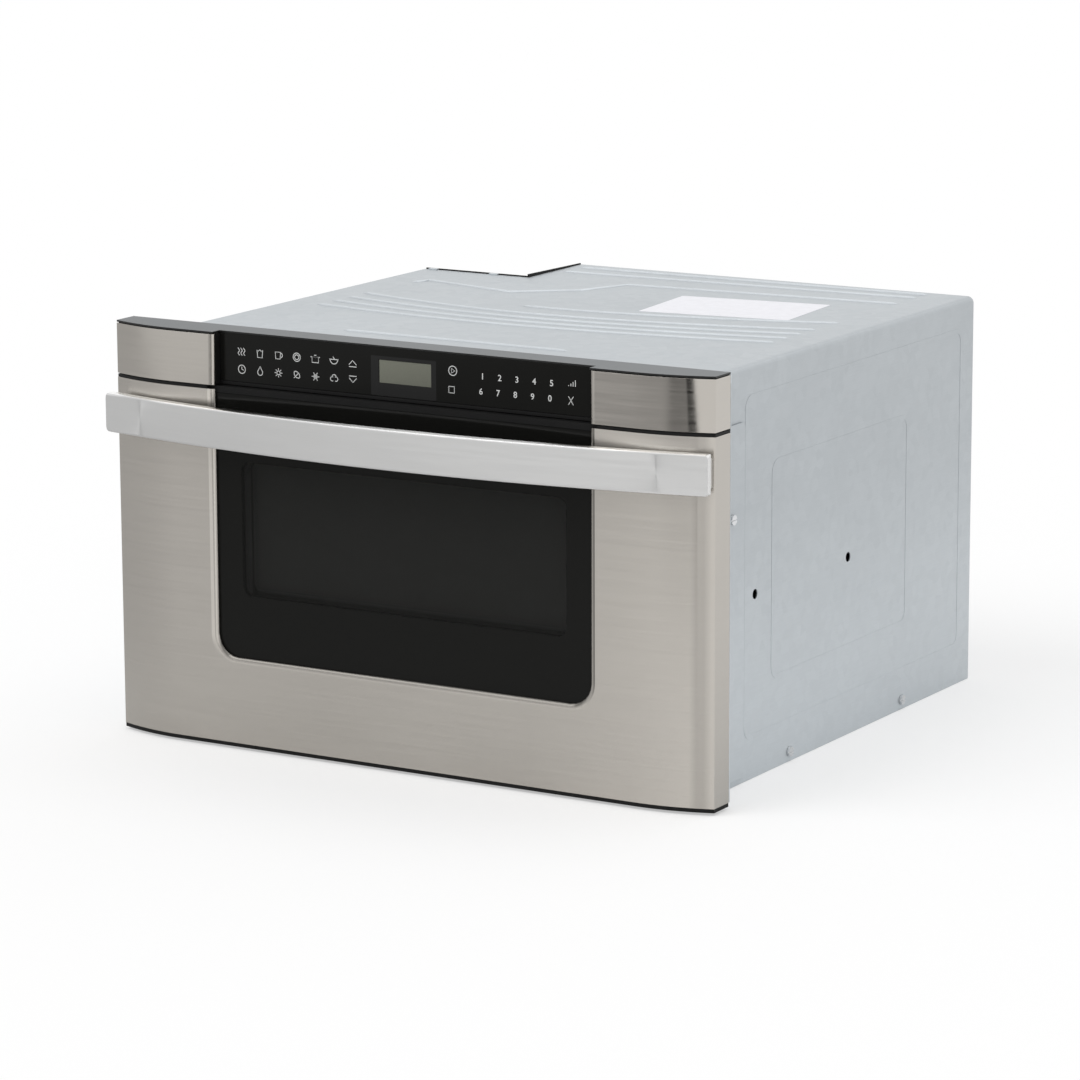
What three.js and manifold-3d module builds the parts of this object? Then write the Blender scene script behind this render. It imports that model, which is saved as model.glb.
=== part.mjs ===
// Built-in microwave drawer, in millimetres. X to the right, Y to the back, Z up.
// While it is drawn, Y = 0 is the plane of the cabinet face and Z = 0 the underside of the base.
// At the end the whole object moves along Y, so that its origin is the middle of its footprint.

import * as THREE from 'three';
import { mergeVertices } from 'three/addons/utils/BufferGeometryUtils.js';
import Module from 'manifold-3d';

const wasm = await Module();
wasm.setup();

// ---------------------------------------------------------------- driving dimensions

// Sheet thicknesses and fits
const seat = 0.3; // gap between pieces that rest on each other
const coverSheet = 1.0;
const baseSheet = 1.2;
const frameSheet = 1.5;
const cavitySheet = 1.0;
const tubSheet = 1.0;
const doorSkin = 1.2;
const fasciaSkin = 1.2;
const capSheet = 1.6;

// Front, seen from outside
const frontWidth = 606.4;
const frontEndDepth = 25.6; // from the cabinet face to the front, at the ends
const frontBow = 13.4; // how far the middle stands in front of the ends
const bowRun = 71.2; // width over which each end curves back
const doorBottom = 6.0;
const frontAbove = 10; // how far the front stands above the box
const fasciaGap = 3.5; // between the door and the control strip
const fasciaHeight = 45.0;
const capSeam = 0.8;

// Box behind the cabinet face
const boxWidth = 543.6;
const boxDepth = 529;
const boxHeight = 363.8;
const boxCorner = 6; // radius along the top edges
const notchWidth = 121.8; // stepped rear-left corner, room for the wall outlet
const notchDepth = 99;
const basePanWall = 18;

// Control strip
const stripHalf = 190.6; // half width of the black glass and of the window cut-out
const stripRecess = 11; // behind the stainless ends
const lipWidth = 5.4; // rounded edge round the black glass
const lipDepth = 3.0;
const lipSteps = 4;
const controlGlass = 3.0;
const housingWall = 3.0;
const displayWidth = 53;
const displayHeight = 20.4;
const displayX = 1.5;
const displayRise = 24.9; // its middle, above the foot of the control strip
const boardThickness = 1.6;

// Window
const windowSill = 83.6; // height of the window's lower edge
const windowCorner = 20;
const windowGlass = 4;
const screenHalf = 160; // what shows of the screen
const screenRise = 59.4; // from the window's lower edge
const screenCorner = 10;
const screenSheet = 0.8;
const screenY = -19.5;
const paneThickness = 3;
const frameBack = -1.5; // rear face of the drawer front
const trimHeight = 3.2; // black strip on top of the drawer front
const trimRise = 2.6; // by which it stands into the gap below the control strip
const bottomTrim = 3.2;
const ribWall = 4;
const screenLedge = 6;
const paneLedge = 12;
const chokeWidth = 5;
const chokeDepth = 6;

// Handle
const handleOverhang = 1.9; // past each end of the front
const handleBow = 33.7; // how far the middle of the bar stands before its ends
const handleReach = 76; // front of the bar, before the cabinet face
const handleThickness = 9;
const handleDrop = 11.9; // from the top of the drawer front
const handleHeight = 35.6;
const handleEdge = 2.2;
const handleCorner = 6;
const postWidth = 22;
const postHeight = 25;
const postInset = 4; // from the end of the bar
const screwShank = 2.5;
const screwHead = 4.5;

// Oven space and drawer tub
const cavityWidth = 464;
const cavityFloor = 72;
const airSpace = 105.8; // above the oven space, for the microwave parts
const rearSpace = 107; // behind the oven space
const tubWidth = 444;
const tubFloor = 76;
const tubWall = 89; // height of the sides
const tubPlate = 4;
const tubCorner = 14;
const domeHalfX = 111;
const domeHalfY = 111;
const domeHeight = 14;
const antennaRadius = 85;
const shaftRadius = 3;
const shaftPlay = 0.4;
const coverPlate = 2;

// Runners
const drawerTravel = 390;
const railOverlap = 23; // by which the middle rails are shorter
const railZ = 104;
const railHeight = 45;
const railSheet = 1.5;
const railPlay = 0.4;
const railDepth = 13; // width of a rail's flanges
const railStep = 5.1; // from one rail's web to the next one's

// Rack and pinion
const toothModule = 2;
const pinionTeeth = 12;
const toothHalf = 0.2; // half a tooth at the pitch line, as a share of the pitch
const toothTip = 1.8;
const toothRoot = 2.4;
const pressureAngle = Math.PI / 9;
const gearWidth = 8;
const rackBody = 8;
const pinionY = 30;
const driveShaft = 4;

// Latches and switches
const latchX = 250;
const latchThickness = 5;
const latchDrop = 45.9; // from the top of the drawer front
const latchHeight = 13;
const latchReach = 28;
const latchSlotPlay = 3;

// Microwave and air parts
const waveguideHeight = 18;
const waveguideWidth = 90;
const waveguideLeft = -45;
const waveguideRight = 172;
const magnetronSize = 80;
const magnetronHeight = 66;
const finCount = 6;
const antennaMotorRadius = 25;
const antennaMotorHeight = 18;
const fanX = -72;
const fanZ = 200;
const fanFrame = 130;
const fanDepth = 27;
const fanRadius = 56;
const bladeCount = 7;
const fanMotorRadius = 24;
const fanMotorLength = 30;
const ventSlots = 9;
const ventPitch = 12;
const ventHeight = 4;
const ventShortest = 20; // half the length of the shortest slot
const glandRadius = 9;
const glandBore = 4.5;
const glandCollar = 4; // thickness and overlap of its two rims
const glandX = 40;
const glandZ = 60;

// Outside details
const sideHoleRadius = 4.5;
const sideHoles = [[103.2, 162.8], [278, 163.2]]; // Y and Z of the holes in each side
const sideFlange = 81; // depth of the front frame's side flanges
const flangeDrop = 6.1; // from the top of the drawer front to their top
const flangeCorner = 4;
const baseScrewFront = 168;
const baseScrewRear = 42.3; // before the notch
const baseScrewZ = 9.4;
const flangeScrewY = 58;
const flangeScrewZ = 235.8;
const ribWidth = 7;
const ribCrest = 1.6; // half width of a rib's top
const ribTaper = 9; // length of its sloping ends
const ribHeight = 1.2;
const ribLeft = -228;
const ribRight = 231;
const rearRibRight = 226;
const ribMiddle = -40; // where the ribs come nearest to the front
const ribSteps = 12;
const leftRise = 16; // by how much a rib's left end lies further back
const rightRise = 30;
const riseGrowth = 0.22; // of the rise, per millimetre behind the first rib
const bowPower = 1.8;
const ribsY = [174, 195, 216, 238];
const halfRib = { left: -58, y: 274 };
const frontRib = { left: -124, right: 96, y: 77 };
const notchRibBends = [[-71, -64], [32, -88], [85, -48], [107, 4]]; // from the notch's inner corner
const notchRibStart = 78; // before the notch, at the left end
const notchRibEnd = 76; // before the rear, at the right end
const rearRibs = [[50, 36], [20, 14]]; // distances from the rear, at the left and right ends
const sideRibHeight = 0.2;
const sideRibWidth = 4;
const sideRibCorner = 12;
const outerSideRib = { front: 84, behind: 23, low: 36, high: 338 }; // behind: from the rear
const innerSideRib = { front: 133, behind: 133, low: 80, high: 275 };
const roofTabsX = [-256, -188]; // two small tabs on the top, beside the notch
const roofTabLength = 9;
const roofTabDepth = 4;
const roofTabHeight = 1.3;
const edgingDepth = 8; // black edging of the notch, below the top
const edgingThickness = 1.2;
const edgingLow = 1.2; // above the top, at its ends
const edgingHigh = 3; // above the top, in the corner
const flangeHoleRadius = 2.6;
const flangeHoleFoot = 60; // height of the lower hole
const flangeHoleDrop = 32.9; // from the top of the drawer front to the upper hole
const flangeHoleInset = 13; // from the side of the front
const headHeight = 2.2;
const driverSlot = 1.2; // width of the slot in a screw head

// Pieces inside the box
const lampX = -150;
const lampY = 60;
const lampRadius = 9;
const transformerX = 140;
const transformerBack = 49; // from the rear to its middle
const transformerHeight = 66;
const coreWidth = 90;
const coreDepth = 60;
const coilWidth = 54;
const coilDepth = 86;
const coilCorner = 10;
const coilInset = 14;
const footReach = 9;
const footSheet = 3;
const capacitorX = 228;
const capacitorBack = 53;
const capacitorHeight = 86;
const canWidth = 32;
const canDepth = 52;
const tabSpread = 8;
const tabWidth = 6;
const tabHeight = 10;
const boardInset = 14; // from the ends of the black glass
const boardParts = [[-150, 26, 12], [-110, 18, 9], [-70, 30, 7], [80, 24, 12]]; // X, width, depth
const hubRadius = 16;
const gearboxFront = 22; // before and behind the pinion
const gearboxRear = 34;
const motorRadius = 17;
const motorLength = 56;

// ---------------------------------------------------------------- sizes worked out from these

const frontHalf = frontWidth / 2;
const boxHalf = boxWidth / 2;
const boxFront = frameSheet + seat;
const capTop = boxHeight + frontAbove;
const capBottom = capTop - capSheet;
const fasciaTop = capBottom - capSeam;
const fasciaBottom = fasciaTop - fasciaHeight;
const doorTop = fasciaBottom - fasciaGap;
const displayZ = fasciaBottom + displayRise;
const handleLength = frontWidth + 2 * handleOverhang;
const handleHalf = handleLength / 2;
const handleRadius = (handleHalf ** 2 + handleBow ** 2) / (2 * handleBow);
const handleTop = doorTop - handleDrop;
const handleBottom = handleTop - handleHeight;
const cavityHeight = boxHeight - cavityFloor - airSpace;
const cavityDepth = boxDepth - rearSpace;
const tubDepth = cavityDepth - 2;
const domeY = cavityDepth / 2;
const railLength = cavityDepth + cavitySheet;
const middleRailLength = railLength - railOverlap;
const latchZ = doorTop - latchDrop;
const frontY = -(frontEndDepth + frontBow);
const stripY = frontY + stripRecess;
const bowRadius = (bowRun ** 2 + frontBow ** 2) / (2 * frontBow);
const notchX = -boxHalf + notchWidth;
const notchY = boxDepth - notchDepth;
const baseScrewsY = [baseScrewFront, notchY - baseScrewRear];
const transformerY = boxDepth - transformerBack;
const capacitorY = boxDepth - capacitorBack;
const insideHalf = boxHalf - coverSheet;
const insideTop = boxHeight - coverSheet;
const floorTop = baseSheet + seat;
const cavityHalf = cavityWidth / 2;
const cavityTop = cavityFloor + cavityHeight;
const screenBottom = windowSill + screenRise;
const screenTop = cavityTop;
const domeTop = cavityTop + domeHeight;
const tubHalf = tubWidth / 2;
const drawerStart = frameBack + seat;
const glassY = frontY + lipDepth + doorSkin + seat;
const glassBack = glassY + windowGlass;
const skinFit = doorSkin + seat;
const pitch = Math.PI * toothModule;
const pinionRadius = (toothModule * pinionTeeth) / 2;

// Webs of the rails, from the cover inwards (outer face of each)
const outerRailX = insideHalf - seat;
const middleRailX = outerRailX - railStep;
const drawerRailX = outerRailX - railDepth - railStep - railSheet - railPlay - seat;
const rackX = drawerRailX - railSheet - seat;
const railHalf = railHeight / 2;
const middleHalf = railHalf - railSheet - railPlay;
const drawerHalf = middleHalf - railSheet - railPlay;
const pitchLineZ = railZ - drawerHalf + railSheet - toothRoot - seat;
const pinionZ = pitchLineZ - pinionRadius;

// ---------------------------------------------------------------- shape helpers

function solid(geometry) {
  geometry.deleteAttribute('normal');
  geometry.deleteAttribute('uv');
  const merged = mergeVertices(geometry, 1e-4);
  return new wasm.Manifold(new wasm.Mesh({
    numProp: 3,
    vertProperties: new Float32Array(merged.attributes.position.array),
    triVerts: new Uint32Array(merged.index.array),
  }));
}

function geometryOf(manifold) {
  const mesh = manifold.getMesh();
  const geometry = new THREE.BufferGeometry();
  geometry.setAttribute('position', new THREE.BufferAttribute(mesh.vertProperties, 3));
  geometry.setIndex(new THREE.BufferAttribute(mesh.triVerts, 1));
  geometry.computeVertexNormals();
  return geometry;
}

const join = (first, ...others) => others.reduce((sum, next) => sum.add(next), first);
const cut = (first, ...others) => others.reduce((rest, next) => rest.subtract(next), first);

function box(x0, x1, y0, y1, z0, z1) {
  const geometry = new THREE.BoxGeometry(x1 - x0, y1 - y0, z1 - z0);
  return solid(geometry.translate((x0 + x1) / 2, (y0 + y1) / 2, (z0 + z1) / 2));
}

function shapeOf(points) {
  return new THREE.Shape(points.map(([a, b]) => new THREE.Vector2(a, b)));
}

function extrude(shape, depth) {
  return new THREE.ExtrudeGeometry(shape, { depth, bevelEnabled: false, curveSegments: 6 });
}

// Upright prism over an outline of X and Y
function prismZ(points, z0, z1) {
  return solid(extrude(shapeOf(points), z1 - z0).translate(0, 0, z0));
}

// Prism along Y over an outline of X and Z
function prismY(points, y0, y1) {
  return solid(extrude(shapeOf(points), y1 - y0).rotateX(Math.PI / 2).translate(0, y1, 0));
}

// Prism along X over an outline of Y and Z
function prismX(points, x0, x1) {
  const turn = new THREE.Matrix4().set(0, 0, 1, x0, 1, 0, 0, 0, 0, 1, 0, 0, 0, 0, 0, 1);
  return solid(extrude(shapeOf(points), x1 - x0).applyMatrix4(turn));
}

function cylinder(axis, radius, centre, from, to, sides = 24) {
  const geometry = new THREE.CylinderGeometry(radius, radius, to - from, sides);
  const middle = (from + to) / 2;
  if (axis === 'x') {
    geometry.rotateZ(Math.PI / 2).translate(middle, centre[0], centre[1]);
  } else if (axis === 'y') {
    geometry.translate(centre[0], middle, centre[1]);
  } else {
    geometry.rotateX(Math.PI / 2).translate(centre[0], centre[1], middle);
  }
  return solid(geometry);
}

// Outline of a rectangle with round corners
function roundRect(a0, a1, b0, b1, radius, steps = 5) {
  const corners = [[a1 - radius, b0 + radius, -90], [a1 - radius, b1 - radius, 0],
    [a0 + radius, b1 - radius, 90], [a0 + radius, b0 + radius, 180]];
  return corners.flatMap(([a, b, start]) => {
    const arc = [];
    for (let k = 0; k <= steps; k += 1) {
      const angle = THREE.MathUtils.degToRad(start + (90 * k) / steps);
      arc.push([a + radius * Math.cos(angle), b + radius * Math.sin(angle)]);
    }
    return arc;
  });
}

const mirrorX = (manifold) => manifold.mirror([1, 0, 0]);

// How far forward the drawer front and the fascia reach at a given X
function frontFaceY(x, inset = 0) {
  const past = Math.abs(x) - (frontHalf - bowRun);
  const radius = bowRadius - inset;
  if (past <= 0) return frontY + inset;
  return frontY + bowRadius - Math.sqrt(radius ** 2 - past ** 2);
}

// Plan outline of the drawer front or the fascia, drawn in by an inset, from xFrom to xTo
function frontPlan(inset, back, xFrom = -frontHalf + inset, xTo = frontHalf - inset) {
  const flat = frontHalf - bowRun;
  const steps = 10;
  const curve = [];
  for (let k = 0; k <= steps; k += 1) curve.push(-frontHalf + inset + ((bowRun - inset) * k) / steps);
  const stations = [xFrom, ...curve, ...curve.map((x) => -x).reverse(), xTo]
    .filter((x) => x >= xFrom && x <= xTo && (Math.abs(x) >= flat || x === xFrom || x === xTo));
  const xs = [...new Set(stations)].sort((a, b) => a - b);
  return [...xs.map((x) => [x, frontFaceY(x, inset)]), [xTo, back], [xFrom, back]];
}

const material = (color, roughness, metalness) =>
  new THREE.MeshStandardMaterial({ color, roughness, metalness });

const object = new THREE.Group();
const fixed = new THREE.Group();
const drawer = new THREE.Group();
object.add(fixed, drawer);

function add(parent, name, manifold, [color, roughness, metalness]) {
  const mesh = new THREE.Mesh(geometryOf(manifold), material(color, roughness, metalness));
  mesh.name = name;
  parent.add(mesh);
}

const finish = {
  stainless: [0xa9a49c, 0.35, 0.9],
  handle: [0xc8c8c8, 0.32, 0.9],
  galvanised: [0xc4c9cc, 0.45, 0.8],
  cap: [0x8c8c8f, 0.5, 0.4],
  blackGlass: [0x161615, 0.08, 0.0],
  blackPlastic: [0x1b1b1b, 0.5, 0.0],
  display: [0x6a6b5f, 0.4, 0.0],
  board: [0x2f5a3a, 0.6, 0.0],
  rail: [0xb4b8ba, 0.4, 0.9],
  screw: [0xd0d2d3, 0.35, 0.9],
  ceramic: [0xe8e4da, 0.6, 0.0],
  copper: [0x9a5a35, 0.4, 0.7],
  rubber: [0x232323, 0.8, 0.0],
  gear: [0xe9e6dc, 0.5, 0.0],
  lamp: [0xf2ead0, 0.3, 0.0],
};

// ---------------------------------------------------------------- outer box

// Box outline with its stepped rear-left corner
function basePlan(inset) {
  return [[-boxHalf + inset, boxFront], [boxHalf - inset, boxFront], [boxHalf - inset, boxDepth],
    [notchX, boxDepth], [notchX, notchY], [-boxHalf + inset, notchY]];
}

function makeBasePan() {
  const inset = coverSheet + seat;
  const plate = prismZ(basePlan(inset), 0, baseSheet);
  const wallX = boxHalf - inset;
  const right = box(wallX - baseSheet, wallX, boxFront, boxDepth - coverSheet - seat, 0, basePanWall);
  const left = box(-wallX, -wallX + baseSheet, boxFront, notchY - coverSheet - seat, 0, basePanWall);
  const screwHoles = baseScrewsY.map((y) =>
    cylinder('x', screwShank, [y, baseScrewZ], -boxHalf, boxHalf, 12));
  add(fixed, 'base_pan', cut(join(plate, right, left), ...screwHoles), finish.galvanised);
}

// Four corners of a rib's section across the run from one point towards another
function ribSection([x, y], [fromX, fromY], [toX, toY]) {
  const half = ribWidth / 2;
  const length = Math.hypot(toX - fromX, toY - fromY);
  const across = [(fromY - toY) / length, (toX - fromX) / length];
  const corners = [[-half, -coverSheet / 2], [half, -coverSheet / 2], [ribCrest, ribHeight],
    [-ribCrest, ribHeight]];
  return corners.map(([side, z]) => [x + across[0] * side, y + across[1] * side, boxHeight + z]);
}

// Low point beyond the end of a rib, where its sloping end runs out
function ribTip([x, y], [beforeX, beforeY]) {
  const share = ribTaper / Math.hypot(x - beforeX, y - beforeY);
  return [x + (x - beforeX) * share, y + (y - beforeY) * share, boxHeight - coverSheet / 2];
}

// One pressed rib on the top: a low roof-shaped ridge along a run of points
function topRib(points) {
  const last = points.length - 1;
  const sections = points.map((point, k) =>
    ribSection(point, points[Math.max(k - 1, 0)], points[Math.min(k + 1, last)]));
  const count = sections[0].length;
  const start = count * sections.length;
  const end = start + 1;
  const positions = [...sections.flat(), ribTip(points[0], points[1]),
    ribTip(points[last], points[last - 1])];
  const index = [];
  for (let j = 0; j < count; j += 1) {
    const next = (j + 1) % count;
    index.push(j, start, next, last * count + j, last * count + next, end);
    for (let k = 0; k < last; k += 1) {
      const [a, b] = [k * count + j, k * count + next];
      index.push(a, b, a + count, b, b + count, a + count);
    }
  }
  return closedMesh(positions.flat(), index);
}

// A rib across the top that bows towards the front, most of all left of the middle
function bowedRib(y, left = ribLeft) {
  const points = [];
  for (let k = 0; k <= ribSteps; k += 1) {
    const x = left + ((ribRight - left) * k) / ribSteps;
    const reach = x < ribMiddle ? ribLeft - ribMiddle : ribRight - ribMiddle;
    const rise = (x < ribMiddle ? leftRise : rightRise) + (y - ribsY[0]) * riseGrowth;
    points.push([x, y + rise * ((x - ribMiddle) / reach) ** bowPower]);
  }
  return topRib(points);
}

// A pressed rib on the right-hand side that runs round a rectangle
function sideRib({ front, behind, low, high }, rear = boxDepth) {
  const [inner, outer] = [boxHalf - coverSheet / 2, boxHalf + sideRibHeight];
  const w = sideRibWidth;
  const back = rear - behind;
  return cut(
    prismX(roundRect(front, back, low, high, sideRibCorner), inner, outer),
    prismX(roundRect(front + w, back - w, low + w, high - w, sideRibCorner - w), inner - 1, outer + 1),
  );
}

function makeOuterCover() {
  const outer = roundRect(-boxHalf, boxHalf, -boxHeight, boxHeight, boxCorner);
  const inner = roundRect(-insideHalf, insideHalf, -insideTop, insideTop, boxCorner - coverSheet);
  const tube = prismY(outer, boxFront, boxDepth);
  const hollow = prismY(inner, boxFront - 1, boxDepth + 1);
  const below = box(-frontHalf, frontHalf, 0, boxDepth + 1, -2 * boxHeight, seat);
  const notch = box(-frontHalf, notchX, notchY, boxDepth + 1, -1, boxHeight + 1);
  const ribs = [
    ...ribsY.map((y) => bowedRib(y)),
    bowedRib(halfRib.y, halfRib.left),
    topRib([[ribLeft, notchY - notchRibStart],
      ...notchRibBends.map(([x, y]) => [notchX + x, notchY + y]),
      [rearRibRight, boxDepth - notchRibEnd]]),
    ...rearRibs.map(([left, right]) =>
      topRib([[notchX + ribWidth + ribTaper, boxDepth - left], [rearRibRight, boxDepth - right]])),
    topRib([[frontRib.left, frontRib.y], [frontRib.right, frontRib.y]]),
  ];
  const rightRibs = [sideRib(outerSideRib), sideRib(innerSideRib)];
  const leftRibs = [mirrorX(sideRib(outerSideRib, notchY)), mirrorX(sideRib(innerSideRib))];
  const holes = sideHoles.map(([y, z]) =>
    cylinder('x', sideHoleRadius, [y, z], -boxHalf - 2, boxHalf + 2, 20));
  const screwHoles = baseScrewsY.map((y) =>
    cylinder('x', screwShank, [y, baseScrewZ], -boxHalf - 2, boxHalf + 2, 12));
  const flangeHoles = cylinder('x', screwShank, [flangeScrewY, flangeScrewZ], -boxHalf - 2, boxHalf + 2, 12);
  const tabs = roofTabsX.map((x) => box(x - roofTabLength / 2, x + roofTabLength / 2,
    notchY - roofTabDepth, notchY, boxHeight - coverSheet / 2, boxHeight + roofTabHeight));
  const shell = cut(tube, hollow, below, notch);
  const cover = cut(join(shell, ...ribs, ...tabs, ...rightRibs, ...leftRibs), ...holes, ...screwHoles,
    flangeHoles);
  add(fixed, 'outer_cover', cover, finish.galvanised);
}

// Black edging on the sheet's edge round the notch, highest in the corner
function makeNotchTrim() {
  const y = notchY + seat;
  const x = notchX - seat;
  const low = boxHeight - edgingDepth;
  const along = box(-boxHalf + boxCorner, x, y, y + edgingThickness, low, boxHeight + edgingLow);
  const side = prismX([[y, low], [boxDepth, low], [boxDepth, boxHeight + edgingLow],
    [y, boxHeight + edgingHigh]], x - edgingThickness, x);
  add(fixed, 'notch_edge_trim', join(along, side), finish.blackPlastic);
}

function makeRearPanel() {
  const t = coverSheet;
  const right = insideHalf - seat;
  const plan = [[-right, notchY - t], [notchX + t, notchY - t], [notchX + t, boxDepth - t],
    [right, boxDepth - t], [right, boxDepth], [notchX, boxDepth], [notchX, notchY], [-right, notchY]];
  const top = insideTop - seat;
  const panel = prismZ(plan, floorTop, top);
  const corner = box(-frontHalf, -right + boxCorner, notchY - 2 * t, notchY + t, top - boxCorner, boxHeight);
  const rearCorner = box(right - boxCorner, frontHalf, boxDepth - 2 * t, boxDepth + t, top - boxCorner,
    boxHeight);
  const vents = [];
  for (let k = 0; k < ventSlots; k += 1) {
    const z = fanZ + (k - (ventSlots - 1) / 2) * ventPitch;
    const half = Math.sqrt(Math.max((fanRadius + 4) ** 2 - (z - fanZ) ** 2, ventShortest ** 2));
    vents.push(box(fanX - half, fanX + half, boxDepth - 2 * t, boxDepth + t, z - ventHeight / 2,
      z + ventHeight / 2));
  }
  const glandHole = cylinder('y', glandRadius, [glandX, glandZ], boxDepth - 2 * t, boxDepth + t, 20);
  add(fixed, 'rear_panel', cut(panel, corner, rearCorner, glandHole, ...vents), finish.galvanised);
}

function makeCordGland() {
  const collar = glandRadius + glandCollar;
  const inside = boxDepth - coverSheet - seat;
  const outside = boxDepth + seat;
  const body = join(
    cylinder('y', glandRadius - seat, [glandX, glandZ], inside - 1, outside + 1, 20),
    cylinder('y', collar, [glandX, glandZ], outside, outside + glandCollar, 20),
    cylinder('y', collar, [glandX, glandZ], inside - glandCollar, inside, 20),
  );
  const bore = cylinder('y', glandBore, [glandX, glandZ], inside - 2 * glandCollar,
    outside + 2 * glandCollar, 20);
  add(fixed, 'cord_gland', cut(body, bore), finish.rubber);
}

function makeCoverScrews() {
  const seats = [...baseScrewsY.map((y, k) => [`base_${k + 1}`, y, baseScrewZ, boxHalf]),
    ['front', flangeScrewY, flangeScrewZ, boxHalf + seat + frameSheet]];
  for (const [label, y, z, face] of seats) {
    const top = face + seat + headHeight;
    const head = cylinder('x', screwHead, [y, z], face + seat, top, 16);
    const shank = cylinder('x', screwShank - seat, [y, z], boxHalf - 8, face + seat + 1, 12);
    const slot = box(top - headHeight / 2, top + 1, y - screwHead, y + screwHead, z - driverSlot / 2,
      z + driverSlot / 2);
    const screw = cut(join(head, shank), slot);
    add(fixed, `cover_screw_right_${label}`, screw, finish.screw);
    add(fixed, `cover_screw_left_${label}`, mirrorX(screw), finish.screw);
  }
}

// ---------------------------------------------------------------- front frame and control strip

const railSlot = {
  x0: rackX - gearWidth - 2,
  x1: outerRailX - railSheet - 0.5,
  z0: railZ - railHalf - 0.5,
  z1: railZ + railHalf + 0.5,
};

function makeFrontFrame() {
  const plate = box(-frontHalf, frontHalf, 0, frameSheet, doorBottom, capBottom - seat);
  const mouth = box(-cavityHalf, cavityHalf, -1, frameSheet + 1, cavityFloor, cavityTop);
  const slot = box(railSlot.x0, railSlot.x1, -1, frameSheet + 1, railSlot.z0, railSlot.z1);
  const latchHalf = latchThickness / 2 + latchSlotPlay;
  const latch = box(latchX - latchHalf, latchX + latchHalf, -1, frameSheet + 1, latchZ - latchSlotPlay,
    latchZ + latchHeight + latchSlotPlay);
  const holes = [flangeHoleFoot, doorTop - flangeHoleDrop].map((z) =>
    cylinder('y', flangeHoleRadius, [frontHalf - flangeHoleInset, z], -1, frameSheet + 1, 16));
  const cable = box(60, 110, -1, frameSheet + 1, fasciaBottom + 8, fasciaBottom + 30);
  const flangeX = boxHalf + seat;
  const flangeOutline = roundRect(-sideFlange, sideFlange, doorBottom, doorTop - flangeDrop,
    flangeCorner);
  const flange = cut(
    prismX(flangeOutline, flangeX, flangeX + frameSheet),
    box(0, frontHalf, -2 * sideFlange, 0, 0, boxHeight),
    cylinder('x', screwShank, [flangeScrewY, flangeScrewZ], boxHalf, flangeX + 2 * frameSheet, 12),
  );
  const sideCuts = [slot, latch, ...holes];
  const frame = cut(join(plate, flange, mirrorX(flange)), mouth, cable, ...sideCuts,
    ...sideCuts.map(mirrorX));
  add(fixed, 'front_frame', frame, finish.cap);
}

// Cap over the control strip: full depth over the ends, set back over the glass
function makeTopCap() {
  const cap = prismZ(frontPlan(0, 0), capBottom, capTop);
  const recess = box(-stripHalf, stripHalf, frontY - 1, stripY, capBottom - 1, capTop + 1);
  add(fixed, 'top_cap', cut(cap, recess), finish.cap);
}

// Rounded inner edge of a stainless piece, along the black glass
function lipPlan() {
  const outer = stripHalf + lipWidth;
  const arc = [];
  for (let k = 0; k <= lipSteps; k += 1) {
    const angle = ((Math.PI / 2) * k) / lipSteps;
    arc.push([outer - lipWidth * Math.sin(angle), frontY + lipDepth * (1 - Math.cos(angle))]);
  }
  return [[outer + 1, frontY], ...arc, [stripHalf, frontY + lipDepth + doorSkin],
    [outer, frontY + doorSkin], [outer + 1, frontY + doorSkin]];
}

function makeFasciaEnds() {
  const start = stripHalf + lipWidth;
  const skin = cut(
    prismZ(frontPlan(0, -seat, start), fasciaBottom, fasciaTop),
    prismZ(frontPlan(fasciaSkin, 0, start - 1), fasciaBottom - 1, fasciaTop + 1),
  );
  const lip = prismZ(lipPlan(), fasciaBottom, fasciaTop);
  const right = join(skin, lip);
  add(fixed, 'fascia_end_right', right, finish.stainless);
  add(fixed, 'fascia_end_left', mirrorX(right), finish.stainless);
}

function makeControlHousing() {
  const inset = fasciaSkin + seat;
  const ends = prismZ(frontPlan(inset, -seat), fasciaBottom, capBottom - seat);
  const glassBed = stripY + controlGlass + seat;
  const middle = box(-stripHalf, stripHalf, frontY - 1, glassBed, fasciaBottom + housingWall, capTop);
  const lipRoom = box(-stripHalf - lipWidth - seat, stripHalf + lipWidth + seat, frontY - 1,
    frontY + lipDepth + doorSkin + seat, fasciaBottom - 1, capTop);
  const chin = box(-stripHalf, stripHalf, frontY - 1, stripY, fasciaBottom - 1, capTop);
  const pocketFront = glassBed + housingWall;
  const pocket = box(-stripHalf + 12, stripHalf - 12, pocketFront, 1, fasciaBottom + housingWall,
    fasciaTop - 1);
  const endPocket = box(stripHalf + 10, frontHalf - 12, -frontEndDepth + 8, 1,
    fasciaBottom + housingWall, fasciaTop - 1);
  const displayRoom = box(displayX - displayWidth / 2 - seat, displayX + displayWidth / 2 + seat,
    frontY, 0, displayZ - displayHeight / 2 - seat, displayZ + displayHeight / 2 + seat);
  const housing = cut(ends, middle, lipRoom, chin, pocket, endPocket, mirrorX(endPocket), displayRoom);
  add(fixed, 'control_housing', housing, finish.blackPlastic);
}

function makeControlGlass() {
  const low = fasciaBottom + housingWall + seat;
  const glass = box(-stripHalf + seat, stripHalf - seat, stripY, stripY + controlGlass, low,
    capBottom - seat);
  const opening = box(displayX - displayWidth / 2, displayX + displayWidth / 2, frontY, 0,
    displayZ - displayHeight / 2, displayZ + displayHeight / 2);
  add(fixed, 'control_glass', cut(glass, opening), finish.blackGlass);
}

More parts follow.
